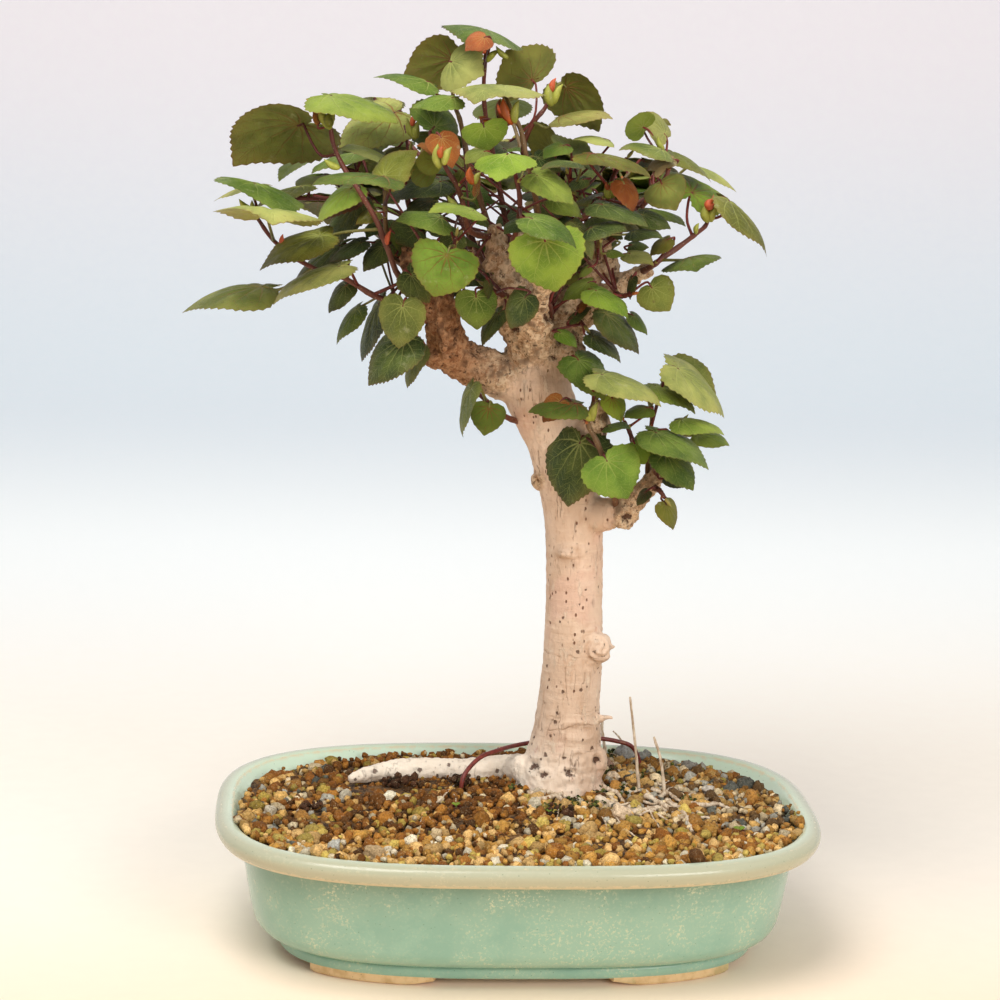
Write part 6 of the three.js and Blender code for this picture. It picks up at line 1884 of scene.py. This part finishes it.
# Fine roots and twigs over the soil: places on the sheet and radius in millimetres
FINE_ROOTS = [
    ([(606, 752), (613, 755), (624, 761), (636, 770)], 0.5),
    ([(606, 758), (618, 764), (628, 776), (634, 788)], 0.45),
    ([(611, 808), (620, 822), (630, 832), (643, 840)], 0.45),
    ([(648, 806), (653, 817), (659, 828), (664, 838)], 0.4),
    ([(518, 806), (532, 802), (548, 803), (559, 804)], 0.5),
    ([(535, 785), (545, 783), (556, 786), (566, 793)], 1.6),
    ([(528, 792), (544, 791), (560, 797), (568, 803)], 1.3),
    ([(536, 798), (550, 796), (563, 792), (571, 788)], 1.2), ([(559, 803), (558, 812), (556, 821)], 0.4),
    ([(571, 792), (574, 788), (581, 784)], 0.5), ([(645, 796), (656, 800), (668, 806), (676, 810)], 1.4),
    ([(652, 790), (662, 793), (672, 789), (684, 786)], 1.1),
    ([(666, 800), (676, 806), (686, 816), (692, 827)], 1.3),
    ([(660, 797), (668, 794), (677, 799), (690, 803)], 1.0),
    ([(690, 803), (704, 806), (718, 804), (732, 808)], 1.3),
    ([(672, 812), (688, 819), (700, 818), (716, 814)], 0.7), ([(697, 812), (706, 800), (712, 792)], 0.5),
    ([(600, 812), (606, 824), (603, 834)], 0.4), ([(297, 813), (301, 806), (306, 799)], 0.5),
    ([(309, 806), (322, 802), (335, 801)], 0.55), ([(325, 801), (328, 796), (331, 791)], 0.4),
    ([(431, 805), (441, 798), (449, 790), (455, 783)], 0.45), ([(426, 812), (421, 820), (421, 832)], 0.4),
    ([(452, 790), (456, 799), (453, 806)], 0.3), ([(582, 780), (590, 790), (588, 802)], 0.5),
    ([(594, 776), (606, 788), (617, 792), (626, 801)], 1.2),
    ([(622, 786), (632, 792), (644, 790), (654, 796)], 0.6),
    ([(628, 806), (640, 800), (652, 804), (664, 798)], 0.8),
    ([(640, 814), (650, 810), (662, 816), (676, 822)], 0.6),
    ([(676, 790), (684, 796), (694, 794), (702, 800)], 0.6),
    ([(610, 796), (620, 804), (634, 803), (642, 809)], 0.7),
    ([(700, 812), (708, 818), (716, 816), (724, 822)], 0.5),
    ([(654, 780), (660, 786), (668, 782), (672, 774)], 0.5),
    ([(618, 772), (626, 780), (638, 778), (646, 786)], 0.5),
]
# Twigs that stand in the soil behind the trunk: places on the sheet from the foot up, and radius
STANDING_TWIGS = [
    ([(627, 757), (624, 745), (618, 736), (613, 731)], 0.55),
    ([(607, 757), (604, 742), (602, 728), (603, 716)], 0.9),
    ([(634, 768), (640, 775), (648, 777), (656, 768)], 0.6),
]
# Dark clumps on the soil, and moss: places on the sheet, spread in millimetres and count
DARK_CLUMPS = [
    ((403, 784), 5, 22), ((388, 784), 4, 12), ((462, 783), 4, 34), ((311, 810), 4, 20),
    ((561, 812), 5, 14),
]
MOSS_SPOTS = [
    ((615, 756), 7, 90), ((606, 772), 5, 60), ((640, 780), 8, 90), ((660, 778), 6, 70),
    ((596, 790), 6, 50), ((586, 800), 9, 70), ((548, 806), 6, 50), ((620, 790), 7, 60),
    ((516, 788), 4, 30), ((690, 800), 6, 40), ((676, 768), 5, 30),
]
# Larger stones: place on the sheet, radius in millimetres and colour
STONES = [
    ((632, 752), 4.6, rgb(160, 160, 158)), ((645, 757), 3.4, rgb(138, 138, 134)),
    ((614, 778), 2.8, rgb(236, 214, 184)), ((607, 765), 2.4, rgb(196, 160, 136)),
    ((656, 752), 2.6, rgb(206, 190, 176)), ((270, 812), 3.2, rgb(226, 214, 190)),
    ((345, 797), 3.0, rgb(226, 216, 192)), ((374, 855), 4.2, rgb(222, 190, 144)),
    ((390, 796), 2.8, rgb(228, 220, 196)), ((436, 834), 3.0, rgb(226, 200, 156)),
    ((540, 792), 2.6, rgb(230, 212, 188)), ((620, 812), 3.2, rgb(226, 200, 168)),
    ((334, 848), 3.0, rgb(176, 176, 168)), ((708, 790), 2.8, rgb(214, 204, 190)),
    ((690, 768), 3.2, rgb(132, 128, 120)),
]
SEEDLINGS = [((739, 832), 2.6), ((456, 806), 2.0), ((549, 812), 1.4)]
# Nothing lies farther out on the soil than this half length
LITTER_REACH = 116.0
GRAIN_TOP = 1.2
ROOT_END_SINK = 1.6
TWIG_FOOT_SINK = 2.4
THIN_END = 0.6


def rough_tube(points, radii, sides, roughness, seed):
    """A tube with a knobbly skin."""
    made, faces = tube(points, radii, sides)
    centres = np.vstack([np.repeat(points, sides, axis=0), points[:1], points[-1:]])
    for i, point in enumerate(made):
        wave = soft_noise(point * (1, 1, 0.5), 0.9, seed) + 0.5 * soft_noise(point, 2.4, seed + 7)
        made[i] = centres[i] + (point - centres[i]) * (1 + roughness * wave)
    return made, faces


def noise_material(name, grain, span, tones, coats, rough, relief, **looks):
    """Two tones by a noise, coats over them, and relief of the same noise."""
    m = Shader(name)
    grain = m.noise(*grain)
    colour = m.coats(m.mix(grain.ramp(*span), *(rgb(*tone) for tone in tones)), coats)
    if isinstance(rough, tuple):
        rough = grain.ramp(*rough)
    return m.finish(Base_Color=colour, Roughness=rough, Normal=m.bump(grain, *relief), **looks)


def dead_wood_material():
    """Dry cream-grey wood with grain along it."""
    coats = [((160, 4), (0.5, 0.66, 0, 0.7), (232, 216, 192))]
    tones = ((168, 142, 114), (224, 206, 180))
    grain = (700, 5, 0.65, (1, 1, 0.2))
    return noise_material(
        "dry_wood", grain, (0.36, 0.62), tones, coats, 0.9, (0.0008, 0.8), Specular_IOR_Level=0.2
    )


def wire_material():
    """Red-brown coated wire, scuffed and dusty."""
    coats = [((220, 5, 0.65), (0.55, 0.68, 0, 0.6), (168, 122, 88))]
    tones = ((96, 34, 28), (132, 52, 40))
    rough = (0.4, 0.7, 0.34, 0.62)
    return noise_material("coated_wire", (600, 5, 0.7), (0.4, 0.65), tones, coats, rough, (0.0003, 0.5))


def screen_material():
    """Dark green moulded plastic with clay dust on it."""
    coats = [((300, 5, 0.7), (0.5, 0.7, 0, 0.6), (140, 112, 78))]
    tones = ((28, 44, 34), (44, 62, 48))
    return noise_material("screen_plastic", (900, 4, 0.6), (0.4, 0.6), tones, coats, 0.6, (0.0003, 0.6))


def sight_on_soil(u, v, *rises):
    """Where the sight line through a place on the sheet comes down to some rise over the soil."""
    near = at_height(u, v, SOIL_EDGE + SOIL_MOUND / 2)
    return at_height(u, v, sum(rises, soil_height(near[0], near[1])))


def on_soil(u, v, rise=0.0):
    """The point of the granules' top under a place on the sheet, raised over it."""
    x, y = (sight_on_soil(u, v, GRAIN_TOP, rise) - POT_MIDDLE)[:2]
    inward = min(1, plan_reach(x, y, LITTER_REACH) ** (-1 / PLAN_EXPONENT))
    x, y = POT_MIDDLE[0] + x * inward, POT_MIDDLE[1] + y * inward
    return np.array([x, y, soil_height(x, y) + GRAIN_TOP + rise])


def make_fine_roots(dry, draw):
    """Fine roots on the granules, and twigs that stand in them."""
    roots = Piece("fine_roots")

    def add(stations, radius, steps, roughness, seed):
        radii = np.linspace(radius, radius * THIN_END, steps + 1)
        roots.add(*rough_tube(Path(stations).sample(steps), radii, 8, roughness, seed))

    for places, radius in FINE_ROOTS:
        stations = [on_soil(u, v, radius) + above(0.8 * (draw() - 0.3)) for u, v in places]
        stations[-1] = stations[-1] - above(ROOT_END_SINK)
        add(stations, radius, 10 * (len(places) - 1), 0.6, 45.1)
    for places, radius in STANDING_TWIGS:
        foot = on_soil(*places[0])
        depth = depth_of(foot)
        add([foot - above(TWIG_FOOT_SINK)] + [at(u, v, depth) for u, v in places[1:]], radius, 30, 0.5, 77.3)
    finish_piece(roots.build([dry]), "dead_wood")


def make_soil_litter(draw):
    """Stones, dark clumps and moss on the granules."""
    litter = Piece("soil_litter", ["grain"])
    for (u, v), radius, colour in STONES:
        add_grain(litter, on_soil(u, v, radius * 0.35), radius, FINE, draw, [(colour, 1.0)])
    for (u, v), spread, count in DARK_CLUMPS:
        for i in range(count):
            aside = np.array([draw() - 0.5, draw() - 0.5, 0.35 * draw()]) * 2 * spread
            tone = rgb(84, 54, 36) if draw() < 0.7 else rgb(46, 32, 22)
            add_grain(litter, on_soil(u, v, 0.4) + aside, 0.7 + 1.2 * draw(), COARSE, draw, [(tone, 1.0)])
    for (u, v), spread, count in MOSS_SPOTS:
        for i in range(count):
            turn, reach = draw() * 2 * math.pi, math.sqrt(draw()) * spread
            aside = np.array([math.cos(turn) * reach, math.sin(turn) * reach, 1.4 * draw() - 0.4])
            tone = (rgb(70, 78, 34), rgb(44, 50, 26), rgb(98, 104, 46))[int(draw() * 3)]
            add_grain(litter, on_soil(u, v, 0.2) + aside, 0.4 + 0.7 * draw(), COARSE, draw, [(tone, 1.0)])
    finish_piece(litter.build([grain_material()]), "soil_granules")


def make_seedlings(materials):
    seedlings = Piece("seedlings", LEAF_LAYERS)
    for (u, v), size in SEEDLINGS:
        foot = on_soil(u, v)
        crown = foot + above(1.6)
        stalk = tube([foot - above(1.5), foot, crown], 0.3, 6)
        seedlings.add(*stalk, STEM_SKIN, tint=rgb(120, 150, 60))
        for side in (-1, 1):
            tip = crown + np.array([side * size, -0.4, 0.5])
            facing = np.array([0, -0.5, 1.0])
            add_leaf(seedlings, crown, tip, facing, size * 0.9, [], "bright", start=foot)
    finish_piece(seedlings.build(materials), "foliage")


def make_dead_parts(dry):
    """The thin root over the soil and the two dead twigs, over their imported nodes."""
    stations = [sight_on_soil(u, v, RIGHT_ROOT_RISE) for u, v, radius in RIGHT_ROOT]
    twigs = [("thin_surface_root", "surface_root_right", stations, RIGHT_ROOT, ROOT_SKIN)]
    for node, rows in DEAD_TWIGS.items():
        stations = [at(u, v, depth) for u, v, depth, radius in rows]
        twigs.append(("dry_" + node, node, stations, [rows[0], rows[-1]], TWIG_SKIN))
    for name, node, stations, rows, (steps, sides, roughness, seed) in twigs:
        piece = Piece(name)
        radii = along_rows([row[-1] for row in rows], steps + 1)
        piece.add(*rough_tube(Path(stations).sample(steps), radii, sides, roughness, seed))
        finish_piece(piece.build([dry]), "dead_wood", node)


def make_small_parts(leaf_materials):
    dry = dead_wood_material()
    draw = random_source(733)
    make_fine_roots(dry, draw)
    make_soil_litter(draw)
    make_seedlings(leaf_materials)
    make_dead_parts(dry)
    wire = Piece("coated_anchor_wire")
    wire.add(*tube(Path([at(*place) for place in WIRE]).sample(WIRE_STEPS), WIRE_RADIUS, WIRE_SIDES))
    finish_piece(wire.build([wire_material()]), "wire_coating", "anchor_wire")
    plastic = screen_material()
    for name in ("drain_screen_left", "drain_screen_right"):
        dress_node(name, plastic)


# Assembly
bpy.context.scene.view_settings.view_transform = "Standard"
make_camera()
make_lights()
make_stage()
make_pot()
make_soil_grains(make_wood())
leaf_materials = [blade_material("leaf_upper", False), stalk_material(), blade_material("leaf_lower", True)]
make_small_parts(leaf_materials)
front_paths = [grow_front_shoot(name, shoot, leaf_materials) for name, shoot in SHOOTS.items()]
back_paths = [grow_back_shoot(*shoot, leaf_materials) for shoot in back_shoots()]
grow_inner_leaves(front_paths + back_paths, leaf_materials)
grow_outer_leaves(back_paths, leaf_materials)

sides = {"cad": CAD_BOX, "visual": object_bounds()}
{key: [[float(x) for x in corner] for corner in box] for key, box in sides.items()}
